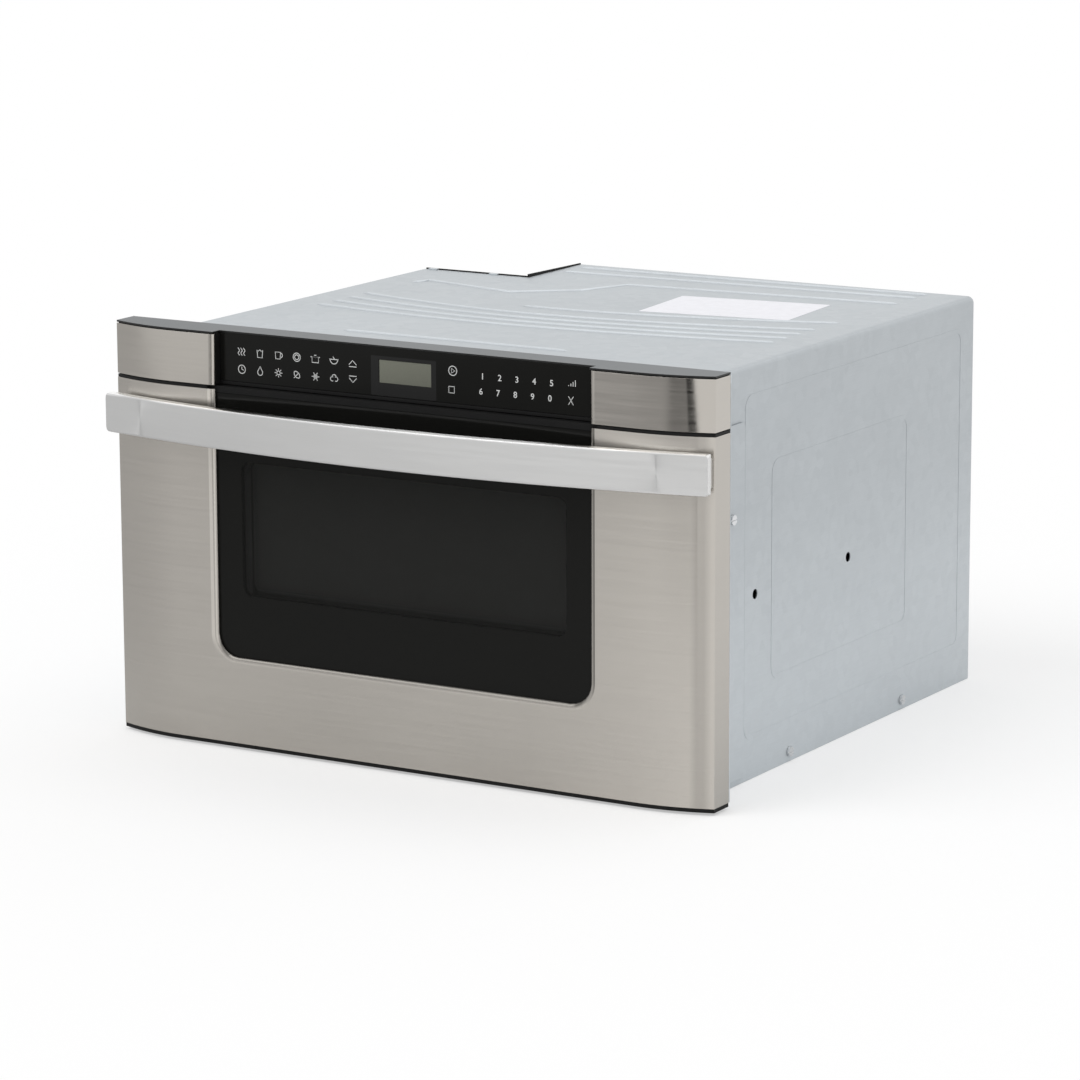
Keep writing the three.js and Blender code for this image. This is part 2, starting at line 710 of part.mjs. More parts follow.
function makeControlBoard() {
  const boardFront = stripY + controlGlass + seat + housingWall + seat;
  const board = box(-stripHalf + boardInset, stripHalf - boardInset, boardFront,
    boardFront + boardThickness, fasciaBottom + 2 * housingWall, fasciaTop - housingWall);
  const parts = boardParts.map(([x, width, depth]) => box(x, x + width, boardFront + boardThickness / 2,
    boardFront + boardThickness + depth, fasciaBottom + boardInset, fasciaTop - boardInset));
  add(fixed, 'control_board', join(board, ...parts), finish.board);
  const width = displayWidth / 2 - seat;
  const height = displayHeight / 2 - seat;
  const display = box(displayX - width, displayX + width, stripY + 0.5, boardFront - seat,
    displayZ - height, displayZ + height);
  add(fixed, 'display_module', display, finish.display);
}

// ---------------------------------------------------------------- oven space

function makeOvenCavity() {
  const t = cavitySheet;
  const outer = join(
    box(-cavityHalf - t, cavityHalf + t, boxFront, boxFront + cavityDepth + t, cavityFloor - t,
      cavityTop + t),
    box(-domeHalfX, domeHalfX, domeY - domeHalfY, domeY + domeHalfY, cavityTop, domeTop),
  );
  const inner = join(
    box(-cavityHalf, cavityHalf, boxFront - 1, boxFront + cavityDepth, cavityFloor, cavityTop),
    box(-domeHalfX + t, domeHalfX - t, domeY - domeHalfY + t, domeY + domeHalfY - t,
      cavityTop - 1, domeTop - t),
  );
  const shaftHole = cylinder('z', shaftRadius + shaftPlay, [0, domeY], domeTop - 3, domeTop + 1, 16);
  const lampHole = cylinder('z', lampRadius + 2, [lampX, lampY], cavityTop - 1, cavityTop + t + 1, 20);
  add(fixed, 'oven_cavity', cut(outer, inner, shaftHole, lampHole), finish.galvanised);
}

function makeOvenLamp() {
  const base = cavityTop + cavitySheet + seat;
  const housing = box(lampX - 22, lampX + 22, lampY - 16, lampY + 16, base, base + 30);
  const lens = cylinder('z', lampRadius, [lampX, lampY], cavityTop - 1, base + 1, 20);
  add(fixed, 'oven_lamp', join(housing, lens), finish.lamp);
}

function makeCeilingCover() {
  const top = cavityTop - seat;
  const half = domeHalfX + 4;
  const plate = prismZ(roundRect(-half, half, domeY - half, domeY + half, 12), top - coverPlate, top);
  add(fixed, 'ceiling_cover', plate, finish.ceramic);
}

function makeStirrer() {
  const diskZ = cavityTop + 4;
  const disk = cylinder('z', antennaRadius, [0, domeY], diskZ, diskZ + 1.5, 40);
  const slots = [0, 120, 240].map((degrees) => {
    const slot = box(22, antennaRadius - 14, -6, 6, diskZ - 1, diskZ + 3);
    return slot.rotate([0, 0, degrees]).translate([0, domeY, 0]);
  });
  const shaft = cylinder('z', shaftRadius, [0, domeY], diskZ, waveguideTop + seat + 8, 16);
  const hub = cylinder('z', 8, [0, domeY], diskZ, diskZ + 5, 20);
  add(fixed, 'stirrer_antenna', join(cut(disk, ...slots), hub, shaft), finish.rail);
}

const waveguideBase = domeTop + seat;
const waveguideTop = waveguideBase + waveguideHeight;
const magnetronX = waveguideRight - magnetronSize / 2 - 2;
const magnetronPost = 8;

function makeWaveguide() {
  const t = cavitySheet;
  const y0 = domeY - waveguideWidth / 2;
  const y1 = domeY + waveguideWidth / 2;
  const outer = box(waveguideLeft, waveguideRight, y0, y1, waveguideBase, waveguideTop);
  const inner = box(waveguideLeft + t, waveguideRight - t, y0 + t, y1 - t, waveguideBase + t,
    waveguideTop - t);
  const shaftHole = cylinder('z', shaftRadius + shaftPlay, [0, domeY], waveguideBase - 1,
    waveguideTop + 1, 16);
  const postHole = cylinder('z', magnetronPost + 1, [magnetronX, domeY], waveguideTop - 2 * t,
    waveguideTop + 1, 20);
  add(fixed, 'waveguide', cut(outer, inner, shaftHole, postHole), finish.galvanised);
}

function makeMagnetron() {
  const base = waveguideTop + seat;
  const half = magnetronSize / 2;
  const top = base + magnetronHeight;
  const foot = box(magnetronX - half, magnetronX + half, domeY - half, domeY + half, base, base + 4);
  const core = cylinder('z', 20, [magnetronX, domeY], base + 2, top - 2, 24);
  const yoke = join(
    box(magnetronX - half, magnetronX - half + 3, domeY - half, domeY + half, base, top),
    box(magnetronX + half - 3, magnetronX + half, domeY - half, domeY + half, base, top),
    box(magnetronX - half, magnetronX + half, domeY - half, domeY + half, top - 4, top),
  );
  const fins = [];
  const step = (magnetronHeight - 12) / finCount;
  for (let k = 0; k < finCount; k += 1) {
    const z = base + 8 + k * step;
    fins.push(box(magnetronX - half + 2, magnetronX + half - 2, domeY - 30, domeY + 30, z, z + 1));
  }
  const post = cylinder('z', magnetronPost - 1, [magnetronX, domeY], waveguideBase + 5, base + 3, 20);
  add(fixed, 'magnetron', join(foot, core, yoke, post, ...fins), finish.rail);
}

function makeAntennaMotor() {
  const base = waveguideTop + seat;
  const can = cylinder('z', antennaMotorRadius, [0, domeY], base, base + antennaMotorHeight, 28);
  const ears = box(-antennaMotorRadius - 9, antennaMotorRadius + 9, domeY - 6, domeY + 6, base, base + 1.5);
  const bore = cylinder('z', shaftRadius + shaftPlay, [0, domeY], base - 1, base + 9, 16);
  add(fixed, 'antenna_motor', cut(join(can, ears), bore), finish.screw);
}

// ---------------------------------------------------------------- power and air, behind the oven

function makeTransformer() {
  const [x, y] = [transformerX, transformerY];
  const core = box(x - coreWidth / 2, x + coreWidth / 2, y - coreDepth / 2, y + coreDepth / 2, floorTop,
    floorTop + transformerHeight);
  const coils = prismZ(roundRect(x - coilWidth / 2, x + coilWidth / 2, y - coilDepth / 2,
    y + coilDepth / 2, coilCorner), floorTop + coilInset, floorTop + transformerHeight - coilInset);
  const feet = box(x - coreWidth / 2 - footReach, x + coreWidth / 2 + footReach,
    y - coreDepth / 2 + footSheet, y + coreDepth / 2 - footSheet, floorTop, floorTop + footSheet);
  add(fixed, 'transformer', join(core, coils, feet), finish.copper);
}

function makeCapacitor() {
  const [x, y] = [capacitorX, capacitorY];
  const top = floorTop + capacitorHeight;
  const can = prismZ(roundRect(x - canWidth / 2, x + canWidth / 2, y - canDepth / 2, y + canDepth / 2,
    canWidth / 2 - seat), floorTop, top);
  const tabs = [-tabSpread, tabSpread].map((offset) => box(x - tabWidth / 2, x + tabWidth / 2, y + offset,
    y + offset + coverSheet, top - tabHeight, top + tabHeight));
  add(fixed, 'capacitor', join(can, ...tabs), finish.screw);
}

const fanBack = boxDepth - coverSheet - seat;
const fanFront = fanBack - fanDepth;
const spiderThickness = 3;
const motorBack = fanFront - seat;

function makeFanHousing() {
  const half = fanFrame / 2;
  const frame = prismY(roundRect(fanX - half, fanX + half, fanZ - half, fanZ + half, 6), fanFront, fanBack);
  const bore = cylinder('y', fanRadius + 3, [fanX, fanZ], fanFront + spiderThickness, fanBack + 1, 40);
  const eye = cylinder('y', fanRadius, [fanX, fanZ], fanFront - 1, fanFront + spiderThickness + 1, 40);
  const arms = [0, 60, 120].map((degrees) => {
    const arm = box(-fanRadius - 2, fanRadius + 2, 0, spiderThickness, -3, 3);
    return arm.rotate([0, degrees, 0]).translate([fanX, fanFront, fanZ]);
  });
  const plate = cylinder('y', fanMotorRadius, [fanX, fanZ], fanFront, fanFront + spiderThickness, 28);
  const shaftHole = cylinder('y', shaftRadius + shaftPlay, [fanX, fanZ], fanFront - 1,
    fanFront + spiderThickness + 1, 16);
  add(fixed, 'fan_housing', cut(join(cut(frame, bore, eye), ...arms, plate), shaftHole),
    finish.blackPlastic);
}

function makeFanMotor() {
  const can = cylinder('y', fanMotorRadius, [fanX, fanZ], motorBack - fanMotorLength, motorBack, 28);
  const bore = cylinder('y', shaftRadius + shaftPlay, [fanX, fanZ], motorBack - 14, motorBack + 1, 16);
  add(fixed, 'fan_motor', cut(can, bore), finish.screw);
}

function makeFanImpeller() {
  const front = fanFront + spiderThickness + 2;
  const back = fanBack - 3;
  const hub = cylinder('y', hubRadius, [fanX, fanZ], front, back, 28);
  const shaft = cylinder('y', shaftRadius, [fanX, fanZ], motorBack - 12, front + 1, 16);
  const blades = [];
  for (let k = 0; k < bladeCount; k += 1) {
    const blade = box(hubRadius - 3, fanRadius - 2, -1, 1, -9, 9).rotate([50, 0, 0]);
    blades.push(blade.rotate([0, (360 * k) / bladeCount, 0]).translate([fanX, (front + back) / 2, fanZ]));
  }
  add(fixed, 'fan_impeller', join(hub, shaft, ...blades), finish.blackPlastic);
}

// ---------------------------------------------------------------- runners and drive

// A C-shaped rail section; side = 1 has its web on the outside, -1 on the inside
function railSection(webX, half, side) {
  const t = railSheet;
  const far = webX - side * railDepth;
  const inner = webX - side * t;
  const points = [[webX, railZ - half], [webX, railZ + half], [far, railZ + half],
    [far, railZ + half - t], [inner, railZ + half - t], [inner, railZ - half + t],
    [far, railZ - half + t], [far, railZ - half]];
  return side > 0 ? points : points.reverse();
}

function makeRails() {
  const outer = prismY(railSection(outerRailX, railHalf, 1), boxFront, boxFront + railLength);
  const middleStart = boxFront + 8;
  const middle = prismY(railSection(middleRailX, middleHalf, 1), middleStart,
    middleStart + middleRailLength);
  const inner = prismY(railSection(drawerRailX - railSheet, drawerHalf, -1), drawerStart,
    drawerStart + railLength);
  for (const [side, flip] of [['right', (m) => m], ['left', mirrorX]]) {
    add(fixed, `outer_rail_${side}`, flip(outer), finish.rail);
    add(fixed, `middle_rail_${side}`, flip(middle), finish.rail);
    add(drawer, `drawer_rail_${side}`, flip(inner), finish.rail);
  }
}

function makeRack() {
  const rootHalf = (toothHalf + 0.01) * pitch + toothRoot * Math.tan(pressureAngle);
  const tipHalf = (toothHalf + 0.01) * pitch - toothTip * Math.tan(pressureAngle);
  const rootZ = pitchLineZ + toothRoot;
  const tipZ = pitchLineZ - toothTip;
  const end = pinionY + drawerTravel + 2 * pitch;
  const points = [];
  for (let y = pinionY + pitch / 2 - Math.floor((pinionY - drawerStart) / pitch) * pitch;
    y < end - pitch / 2; y += pitch) {
    points.push([y - rootHalf, rootZ], [y - tipHalf, tipZ], [y + tipHalf, tipZ], [y + rootHalf, rootZ]);
  }
  const first = drawerStart;
  const outline = [[first, rootZ], ...points, [end, rootZ], [end, rootZ + rackBody],
    [first, rootZ + rackBody]];
  add(drawer, 'drive_rack', prismX(outline, rackX - gearWidth, rackX), finish.gear);
}

function makePinion() {
  const outline = [];
  const half = toothHalf * pitch;
  const flank = [[pinionRadius - toothRoot, -1.75], [pinionRadius, -half], [pinionRadius + toothTip, -0.6],
    [pinionRadius + toothTip, 0.6], [pinionRadius, half], [pinionRadius - toothRoot, 1.75]];
  for (let k = 0; k < pinionTeeth; k += 1) {
    const middle = Math.PI / 2 + (2 * Math.PI * k) / pinionTeeth;
    for (const [radius, offset] of flank) {
      const angle = middle + offset / radius;
      outline.push([pinionY + radius * Math.cos(angle), pinionZ + radius * Math.sin(angle)]);
    }
  }
  const wheel = prismX(outline, rackX - gearWidth, rackX);
  const shaft = cylinder('x', driveShaft, [pinionY, pinionZ], rackX - gearWidth - 4, rackX + 14, 20);
  add(fixed, 'drive_pinion', join(wheel, shaft), finish.gear);
}

function makeDriveMotor() {
  const gearboxX = rackX + 2;
  const gearbox = box(gearboxX, outerRailX - 4, pinionY - gearboxFront, pinionY + gearboxRear, floorTop,
    railZ - railHalf - 2);
  const can = cylinder('x', motorRadius, [pinionY + 14, 30], gearboxX - motorLength, gearboxX + 1, 24);
  const bore = cylinder('x', driveShaft + shaftPlay, [pinionY, pinionZ], gearboxX - 1, rackX + 16, 20);
  add(fixed, 'drive_motor', cut(join(gearbox, can), bore), finish.blackPlastic);
}

// ---------------------------------------------------------------- latches

function makeLatches() {
  const half = latchThickness / 2;
  const tip = drawerStart + latchReach;
  const z = latchZ;
  const top = latchZ + latchHeight;
  const outline = [[drawerStart, z], [tip - 9, z], [tip - 7, z - 2.5], [tip - 4, z - 2.5], [tip, z + 4],
    [tip, top], [drawerStart, top]];
  const hook = prismX(outline, latchX - half, latchX + half);
  const base = top + latchSlotPlay + 1;
  const body = box(latchX - 7, latchX + 7, boxFront, boxFront + 32, base, base + 18);
  const plunger = box(latchX - 2, latchX + 2, boxFront + 12, boxFront + 16, top + seat + 0.2, base + 1);
  const switchBlock = join(body, plunger);
  for (const [side, flip] of [['right', (m) => m], ['left', mirrorX]]) {
    add(drawer, `latch_hook_${side}`, flip(hook), finish.gear);
    add(fixed, `interlock_switch_${side}`, flip(switchBlock), finish.blackPlastic);
  }
}

// ---------------------------------------------------------------- drawer front

// Sweep of a slanted lip round the sides and foot of the window
function windowLip() {
  const path = [];
  const half = stripHalf;
  const r = windowCorner;
  const steps = 6;
  path.push([-half, doorTop, 1, 0]);
  for (let k = 0; k <= steps; k += 1) {
    const a = Math.PI + (k / steps) * (Math.PI / 2);
    path.push([-half + r + r * Math.cos(a), windowSill + r + r * Math.sin(a), -Math.cos(a), -Math.sin(a)]);
  }
  for (let k = 0; k <= steps; k += 1) {
    const a = -Math.PI / 2 + (k / steps) * (Math.PI / 2);
    path.push([half - r + r * Math.cos(a), windowSill + r + r * Math.sin(a), -Math.cos(a), -Math.sin(a)]);
  }
  path.push([half, doorTop, -1, 0]);
  const section = lipPlan().map(([x, y]) => [stripHalf - x, y]);
  const count = section.length;
  const positions = path.flatMap(([x, z, nx, nz]) =>
    section.flatMap(([d, y]) => [x + nx * d, y, z + nz * d]));
  const index = [];
  for (let k = 0; k + 1 < path.length; k += 1) {
    for (let j = 0; j < count; j += 1) {
      const a = k * count + j;
      const b = k * count + ((j + 1) % count);
      index.push(a, a + count, b, b, a + count, b + count);
    }
  }
  const last = (path.length - 1) * count;
  const faces = THREE.ShapeUtils.triangulateShape(section.map(([d, y]) => new THREE.Vector2(d, y)), []);
  for (const [a, b, c] of faces) {
    index.push(a, b, c, last + a, last + c, last + b);
  }
  return closedMesh(positions, index);
}

// Closed mesh from its points and triangles, turned inside out if it came out so
function closedMesh(positions, index) {
  const geometry = new THREE.BufferGeometry();
  geometry.setAttribute('position', new THREE.BufferAttribute(new Float32Array(positions), 3));
  geometry.setIndex(index);
  let volume = 0;
  const [a, b, c] = [new THREE.Vector3(), new THREE.Vector3(), new THREE.Vector3()];
  for (let k = 0; k < index.length; k += 3) {
    a.fromBufferAttribute(geometry.attributes.position, index[k]);
    b.fromBufferAttribute(geometry.attributes.position, index[k + 1]);
    c.fromBufferAttribute(geometry.attributes.position, index[k + 2]);
    volume += a.dot(b.cross(c));
  }
  if (volume < 0) {
    const flipped = [];
    for (let k = 0; k < index.length; k += 3) flipped.push(index[k], index[k + 2], index[k + 1]);
    geometry.setIndex(flipped);
  }
  return solid(geometry);
}

function makeOuterPanel() {
  const outline = frontPlan(0, 0);
  const skin = cut(
    prismZ(outline, doorBottom, doorTop),
    prismZ(frontPlan(doorSkin, 1), doorBottom - 1, doorTop + 1),
    box(-frontHalf - 1, frontHalf + 1, -seat, 2, 0, boxHeight),
  );
  const edge = stripHalf + lipWidth;
  const corner = windowCorner + lipWidth;
  const opening = prismY(roundRect(-edge, edge, windowSill - lipWidth, doorTop + 2 * corner, corner, 8),
    frontY - 2, 0);
  const screwHole = cylinder('y', screwShank + seat, [postX, postMiddle], frontY, -10, 16);
  const panel = cut(join(cut(skin, opening), windowLip()), screwHole, mirrorX(screwHole));
  add(drawer, 'door_outer_panel', panel, finish.stainless);
}

function makeWindowGlass() {
  const half = stripHalf + 3;
  const outline = roundRect(-half, half, windowSill - 3, doorTop + 40, windowCorner + 3, 6);
  const plate = prismY(outline, glassY, glassBack);
  const above = box(-frontHalf, frontHalf, frontY, 0, doorTop - trimHeight - seat, boxHeight + 60);
  add(drawer, 'window_glass', cut(plate, above), finish.blackGlass);
}

function innerPlan() {
  return frontPlan(skinFit, frameBack);
}

// Plan of the black strips that lie over the edges of the skin
function coverPlan() {
  return frontPlan(seat, -seat);
}

function makeTopTrim() {
  const cover = prismZ(coverPlan(), doorTop + seat, doorTop + trimRise);
  const strip = join(prismZ(innerPlan(), doorTop - trimHeight, doorTop + trimRise), cover);
  const lipRoom = box(-stripHalf - lipWidth - 1.5, stripHalf + lipWidth + 1.5, frontY - 1, glassY, 0,
    boxHeight);
  add(drawer, 'door_top_trim', cut(strip, lipRoom), finish.blackPlastic);
}

function makeBottomTrim() {
  const strip = prismZ(coverPlan(), doorBottom - seat - bottomTrim, doorBottom - seat);
  add(drawer, 'door_bottom_trim', strip, finish.blackPlastic);
}

// Open pockets between ribs, cut from the front of the inner frame
function framePockets() {
  const low = doorBottom + 9;
  const high = doorTop - trimHeight - 12;
  const rows = 5;
  const rowHeight = (high - low) / rows;
  const pockets = [];
  const floorY = -chokeDepth - ribWall;
  for (let k = 0; k < rows; k += 1) {
    const z0 = low + k * rowHeight + ribWall / 2;
    const side = box(stripHalf + 15, frontHalf - 8, frontY - 2, floorY, z0, z0 + rowHeight - ribWall);
    pockets.push(side, mirrorX(side));
  }
  const columns = 7;
  const width = (2 * stripHalf) / columns;
  for (let k = 0; k < columns; k += 1) {
    const x0 = -stripHalf + k * width + ribWall / 2;
    pockets.push(box(x0, x0 + width - ribWall, frontY - 2, floorY, low, windowSill - 12));
  }
  return pockets;
}

// Ring along the rear face that keeps the microwaves in
function chokeRing(grow, y0, y1) {
  const half = cavityHalf + seat;
  const low = cavityFloor - seat;
  const top = screenTop + paneLedge + ribWall;
  const reach = chokeWidth + grow;
  const ring = prismY(roundRect(-half - reach, half + reach, low - reach, top + reach, 12), y0, y1);
  const hole = prismY(roundRect(-half + grow, half - grow, low + grow, top - grow, 8), y0 - 1, y1 + 1);
  return cut(ring, hole);
}

function makeChokeRing() {
  add(drawer, 'choke_ring', chokeRing(-seat, frameBack - chokeDepth + seat, frameBack), finish.blackPlastic);
}

function makeInnerFrame() {
  const body = prismZ(innerPlan(), doorBottom + seat, doorTop - trimHeight - seat);
  const glassHalf = stripHalf + lipWidth + 1.5;
  const glassRoom = prismY(roundRect(-glassHalf, glassHalf, windowSill - lipWidth - 1.5, doorTop + 100,
    windowCorner + lipWidth + 1.5, 6), frontY - 1, glassBack + seat);
  const lipShelf = screenLip();
  const aperture = prismY(roundRect(-screenHalf, screenHalf, screenBottom, screenTop, screenCorner),
    frontY, 0);
  const paneRoom = box(-screenHalf - paneLedge, screenHalf + paneLedge,
    frameBack - paneThickness - 2 * seat, 1, screenBottom - paneLedge, screenTop + paneLedge);
  const screwRoom = cylinder('y', screwHead + 1, [postX, postMiddle], frontY, 0, 16);
  const frame = cut(body, glassRoom, lipShelf, aperture, paneRoom, ...framePockets(),
    chokeRing(0, frameBack - chokeDepth, 1), screwRoom, mirrorX(screwRoom));
  add(drawer, 'door_inner_frame', frame, finish.blackPlastic);
}

// Room for the screen, from the glass back to the ledge that it rests on
function screenLip() {
  return box(-screenHalf - screenLedge, screenHalf + screenLedge, frontY, screenY + screenSheet + seat,
    screenBottom - screenLedge, screenTop + screenLedge);
}

function makeScreen() {
  const grow = screenLedge - seat;
  const sheet = box(-screenHalf - grow, screenHalf + grow, screenY, screenY + screenSheet,
    screenBottom - grow, screenTop + grow);
  add(drawer, 'window_screen', sheet, finish.blackPlastic);
}

function makeInnerPane() {
  const grow = paneLedge - seat;
  const pane = box(-screenHalf - grow, screenHalf + grow, frameBack - seat - paneThickness,
    frameBack - seat, screenBottom - grow, screenTop + grow);
  add(drawer, 'inner_window_pane', pane, finish.blackGlass);
}

// ---------------------------------------------------------------- handle

const postX = handleHalf - postInset - postWidth / 2;
const postMiddle = handleBottom + handleHeight / 2;

const handleBackY = (x) => -handleReach + handleRadius
  - Math.sqrt((handleRadius - handleThickness) ** 2 - x ** 2);

function makeHandleBar() {
  const steps = 24;
  const e = handleEdge;
  const t = handleThickness;
  const section = roundRect(0, t, handleBottom, handleTop, e, 2);
  const count = section.length;
  const positions = [];
  for (let k = 0; k <= steps; k += 1) {
    const x = -handleHalf + (handleLength * k) / steps;
    const angle = Math.asin(x / handleRadius);
    for (const [depth, z] of section) {
      const r = handleRadius - depth;
      positions.push(r * Math.sin(angle), -handleReach + handleRadius - r * Math.cos(angle), z);
    }
  }
  const index = [];
  for (let k = 0; k < steps; k += 1) {
    for (let j = 0; j < count; j += 1) {
      const a = k * count + j;
      const b = k * count + ((j + 1) % count);
      index.push(a, a + count, b, b, a + count, b + count);
    }
  }
  const last = steps * count;
  for (let j = 1; j + 1 < count; j += 1) index.push(0, j, j + 1, last, last + j + 1, last + j);
  const bar = closedMesh(positions, index);
  const elevation = prismY(roundRect(-handleHalf, handleHalf, handleBottom - 1, handleTop + 1,
    handleCorner, 4), -2 * handleReach, 0);
  add(drawer, 'handle_bar', bar.intersect(elevation), finish.handle);
}

function makePosts() {
  const steps = 4;
  const xs = Array.from({ length: steps + 1 }, (_, k) => postX + postWidth * (k / steps - 0.5));
  const outline = [...xs.map((x) => [x, handleBackY(x) + seat]),
    ...xs.reverse().map((x) => [x, frontFaceY(x) - seat])];
  const block = prismZ(outline, postMiddle - postHeight / 2, postMiddle + postHeight / 2);
  const face = frontFaceY(postX);
  const bore = cylinder('y', screwShank, [postX, postMiddle], face - 4, 0, 16);
  const post = cut(block, bore);
  const headY = frontFaceY(postX + screwHead, doorSkin) + seat;
  const head = cylinder('y', screwHead, [postX, postMiddle], headY, headY + 3, 20);
  const shank = cylinder('y', screwShank - seat, [postX, postMiddle], face - 3.5, headY + 1, 16);
  const screw = join(head, shank);
  for (const [side, flip] of [['right', (m) => m], ['left', mirrorX]]) {
    add(drawer, `handle_post_${side}`, flip(post), finish.handle);
    add(drawer, `handle_screw_${side}`, flip(screw), finish.screw);
  }
}

// ---------------------------------------------------------------- tub

function makeTub() {
  const t = tubSheet;
  const end = drawerStart + tubDepth;
  const outline = (inset, front) => [[-tubHalf + inset, front], [tubHalf - inset, front],
    [tubHalf - inset, end - tubCorner - inset / 2], [tubHalf - tubCorner - inset / 2, end - inset],
    [-tubHalf + tubCorner + inset / 2, end - inset], [-tubHalf + inset, end - tubCorner - inset / 2]];
  const shell = cut(
    prismZ(outline(0, drawerStart), tubFloor, tubFloor + tubWall),
    prismZ(outline(t, drawerStart - 1), tubFloor + t, tubFloor + tubWall + 1),
  );
  add(drawer, 'drawer_tub', shell, finish.galvanised);
  const plateBottom = tubFloor + t + seat;
  const plate = prismZ(outline(t + seat, drawerStart + seat), plateBottom, plateBottom + tubPlate);
  add(drawer, 'tub_floor_plate', plate, finish.ceramic);
}

// ---------------------------------------------------------------- put together

makeBasePan();
makeOuterCover();
makeNotchTrim();
makeRearPanel();
makeCordGland();
makeCoverScrews();
makeFrontFrame();
makeTopCap();
makeFasciaEnds();
makeControlHousing();
makeControlGlass();
makeControlBoard();
makeOvenCavity();
makeOvenLamp();
makeCeilingCover();
makeStirrer();
makeWaveguide();
makeMagnetron();
makeAntennaMotor();
makeTransformer();
makeCapacitor();
makeFanHousing();
makeFanMotor();
makeFanImpeller();
makeRails();
makeRack();
makePinion();
makeDriveMotor();
makeLatches();
makeOuterPanel();
makeWindowGlass();
makeTopTrim();
makeBottomTrim();
makeInnerFrame();
makeChokeRing();
makeScreen();
makeInnerPane();
makeHandleBar();
makePosts();
makeTub();

object.position.y = (handleReach - boxDepth - seat - glandCollar) / 2;

export default object;
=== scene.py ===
# Built-in microwave drawer, dressed, lit and seen as in its photograph.
# Metres, X to the right, Y to the back, Z up. A number times MM is in millimetres.

import math

import bmesh
import bpy
from mathutils import Matrix, Vector


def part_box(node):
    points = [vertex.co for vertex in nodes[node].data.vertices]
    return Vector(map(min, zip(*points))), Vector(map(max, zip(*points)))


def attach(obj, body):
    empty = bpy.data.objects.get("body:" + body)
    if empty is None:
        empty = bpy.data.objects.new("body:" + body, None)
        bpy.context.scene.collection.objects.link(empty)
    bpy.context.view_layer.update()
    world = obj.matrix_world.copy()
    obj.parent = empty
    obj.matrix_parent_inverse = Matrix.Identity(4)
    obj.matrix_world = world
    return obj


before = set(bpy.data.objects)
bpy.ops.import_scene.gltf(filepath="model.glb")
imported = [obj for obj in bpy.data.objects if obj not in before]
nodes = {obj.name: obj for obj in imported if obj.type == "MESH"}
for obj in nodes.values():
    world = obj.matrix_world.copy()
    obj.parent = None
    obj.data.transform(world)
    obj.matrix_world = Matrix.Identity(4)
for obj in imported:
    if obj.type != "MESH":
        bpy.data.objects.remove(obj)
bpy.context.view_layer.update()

# ---------------------------------------------------------------- named values

MM = 0.001

# Camera, solved from measured edges of the photograph
IMAGE_SIDE = 1080  # in pixels
CAMERA_PLACE = Vector((2.087532, -3.517318, 1.010263))
CAMERA_YAW = 0.5394267
CAMERA_PITCH = 0.2050774
CAMERA_ROLL = -0.0040399
CAMERA_FOCUS = 4585.8998  # in pixels of the photograph
SENSOR = 36.0  # in millimetres
FAR_CLIP = 50.0

# Places taken from the frame
GLASS_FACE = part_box("control_glass")[0].y
CABINET_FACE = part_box("front_frame")[0].y
SCREEN_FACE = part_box("window_screen")[0].y
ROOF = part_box("rear_panel")[1].z + 1.3 * MM
HANDLE_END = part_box("handle_bar")[1].x
HANDLE_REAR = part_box("handle_bar")[1].y
DOOR_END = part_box("door_outer_panel")[1].x

# Colours, linear
STEEL = (0.47, 0.445, 0.41)
HANDLE_GREY = (0.64, 0.64, 0.635)
ZINC_SHEET = (0.488, 0.519, 0.541)
CAP_GREY = (0.112, 0.121, 0.127)
BLACK = (0.006, 0.006, 0.0055)
KEY_BLACK = (0.009, 0.009, 0.0082)
DISPLAY_OLIVE = (0.155, 0.16, 0.125)
FIELD_GREY = (0.022, 0.022, 0.022)
PRINT_WHITE = (0.74, 0.75, 0.74)
LABEL_WHITE = (0.86, 0.86, 0.90)
SCREEN_GREY = (0.66, 0.66, 0.64)
SCREEN_EDGE = (0.2, 0.2, 0.195)
HOLE_BLACK = (0.02, 0.02, 0.02)
WHITE = (1.0, 1.0, 1.0)

# Tones: the first and the second grey, then the two places or slopes
# between which the first turns into the second
# Painted light and shade on the door: lighter towards its right end, and painted shade on faces that
# look up and on faces that look right
DOOR_LIGHT_ALONG = (1.0, 1.15, 0.13, 0.28)
DOOR_SHADE_FACING_UP = (1.0, 0.36, 0.1, 0.4)
DOOR_SHADE_FACING_RIGHT = (1.0, 0.9, 0.5, 0.8)
# Painted light on the fascia: the left block lighter, and a painted highlight at the right block's end
FASCIA_LIGHT_LEFT = (1.07, 1.0, -0.2, 0.0)
FASCIA_HIGHLIGHT_RIGHT = (1.0, 1.1, 0.268, 0.282)
# Painted light on the handle: a painted highlight on faces that look up, lighter at its left end and
# lighter still towards the right
HANDLE_HIGHLIGHT_FACING_UP = (1.0, 1.5, 0.2, 0.75)
HANDLE_LIGHT_LEFT = (1.0, 0.94, -0.26, -0.15)
HANDLE_LIGHT_RIGHT = (1.0, 1.14, 0.0, 0.3)
# Painted light and shade on the sheet: lighter sides, rib slopes lighter to the rear and darker to the
# front, a painted highlight on the rib crests, and lighter near the foot
SHEET_SIDE_LIGHT = (1.0, 1.07, 0.5, 0.7)
SHEET_SLOPE_LIGHT_AND_SHADE = (0.0, 0.22, 0.5, 0.7)
SHEET_CREST_HIGHLIGHT = (1.0, 1.25, ROOF + 0.15 * MM, ROOF + 0.8 * MM)
SHEET_FOOT_LIGHT = (1.22, 1.0, 0.02, 0.24)
CAP_ALONG = (0.88, 1.0, -0.25, 0.15)
SCREEN_RIM = (0.04, 0.7, -9 * MM, -3 * MM)
FLOOR_MIRRORED = (0.6, 1.0, -1.0, 0.4)
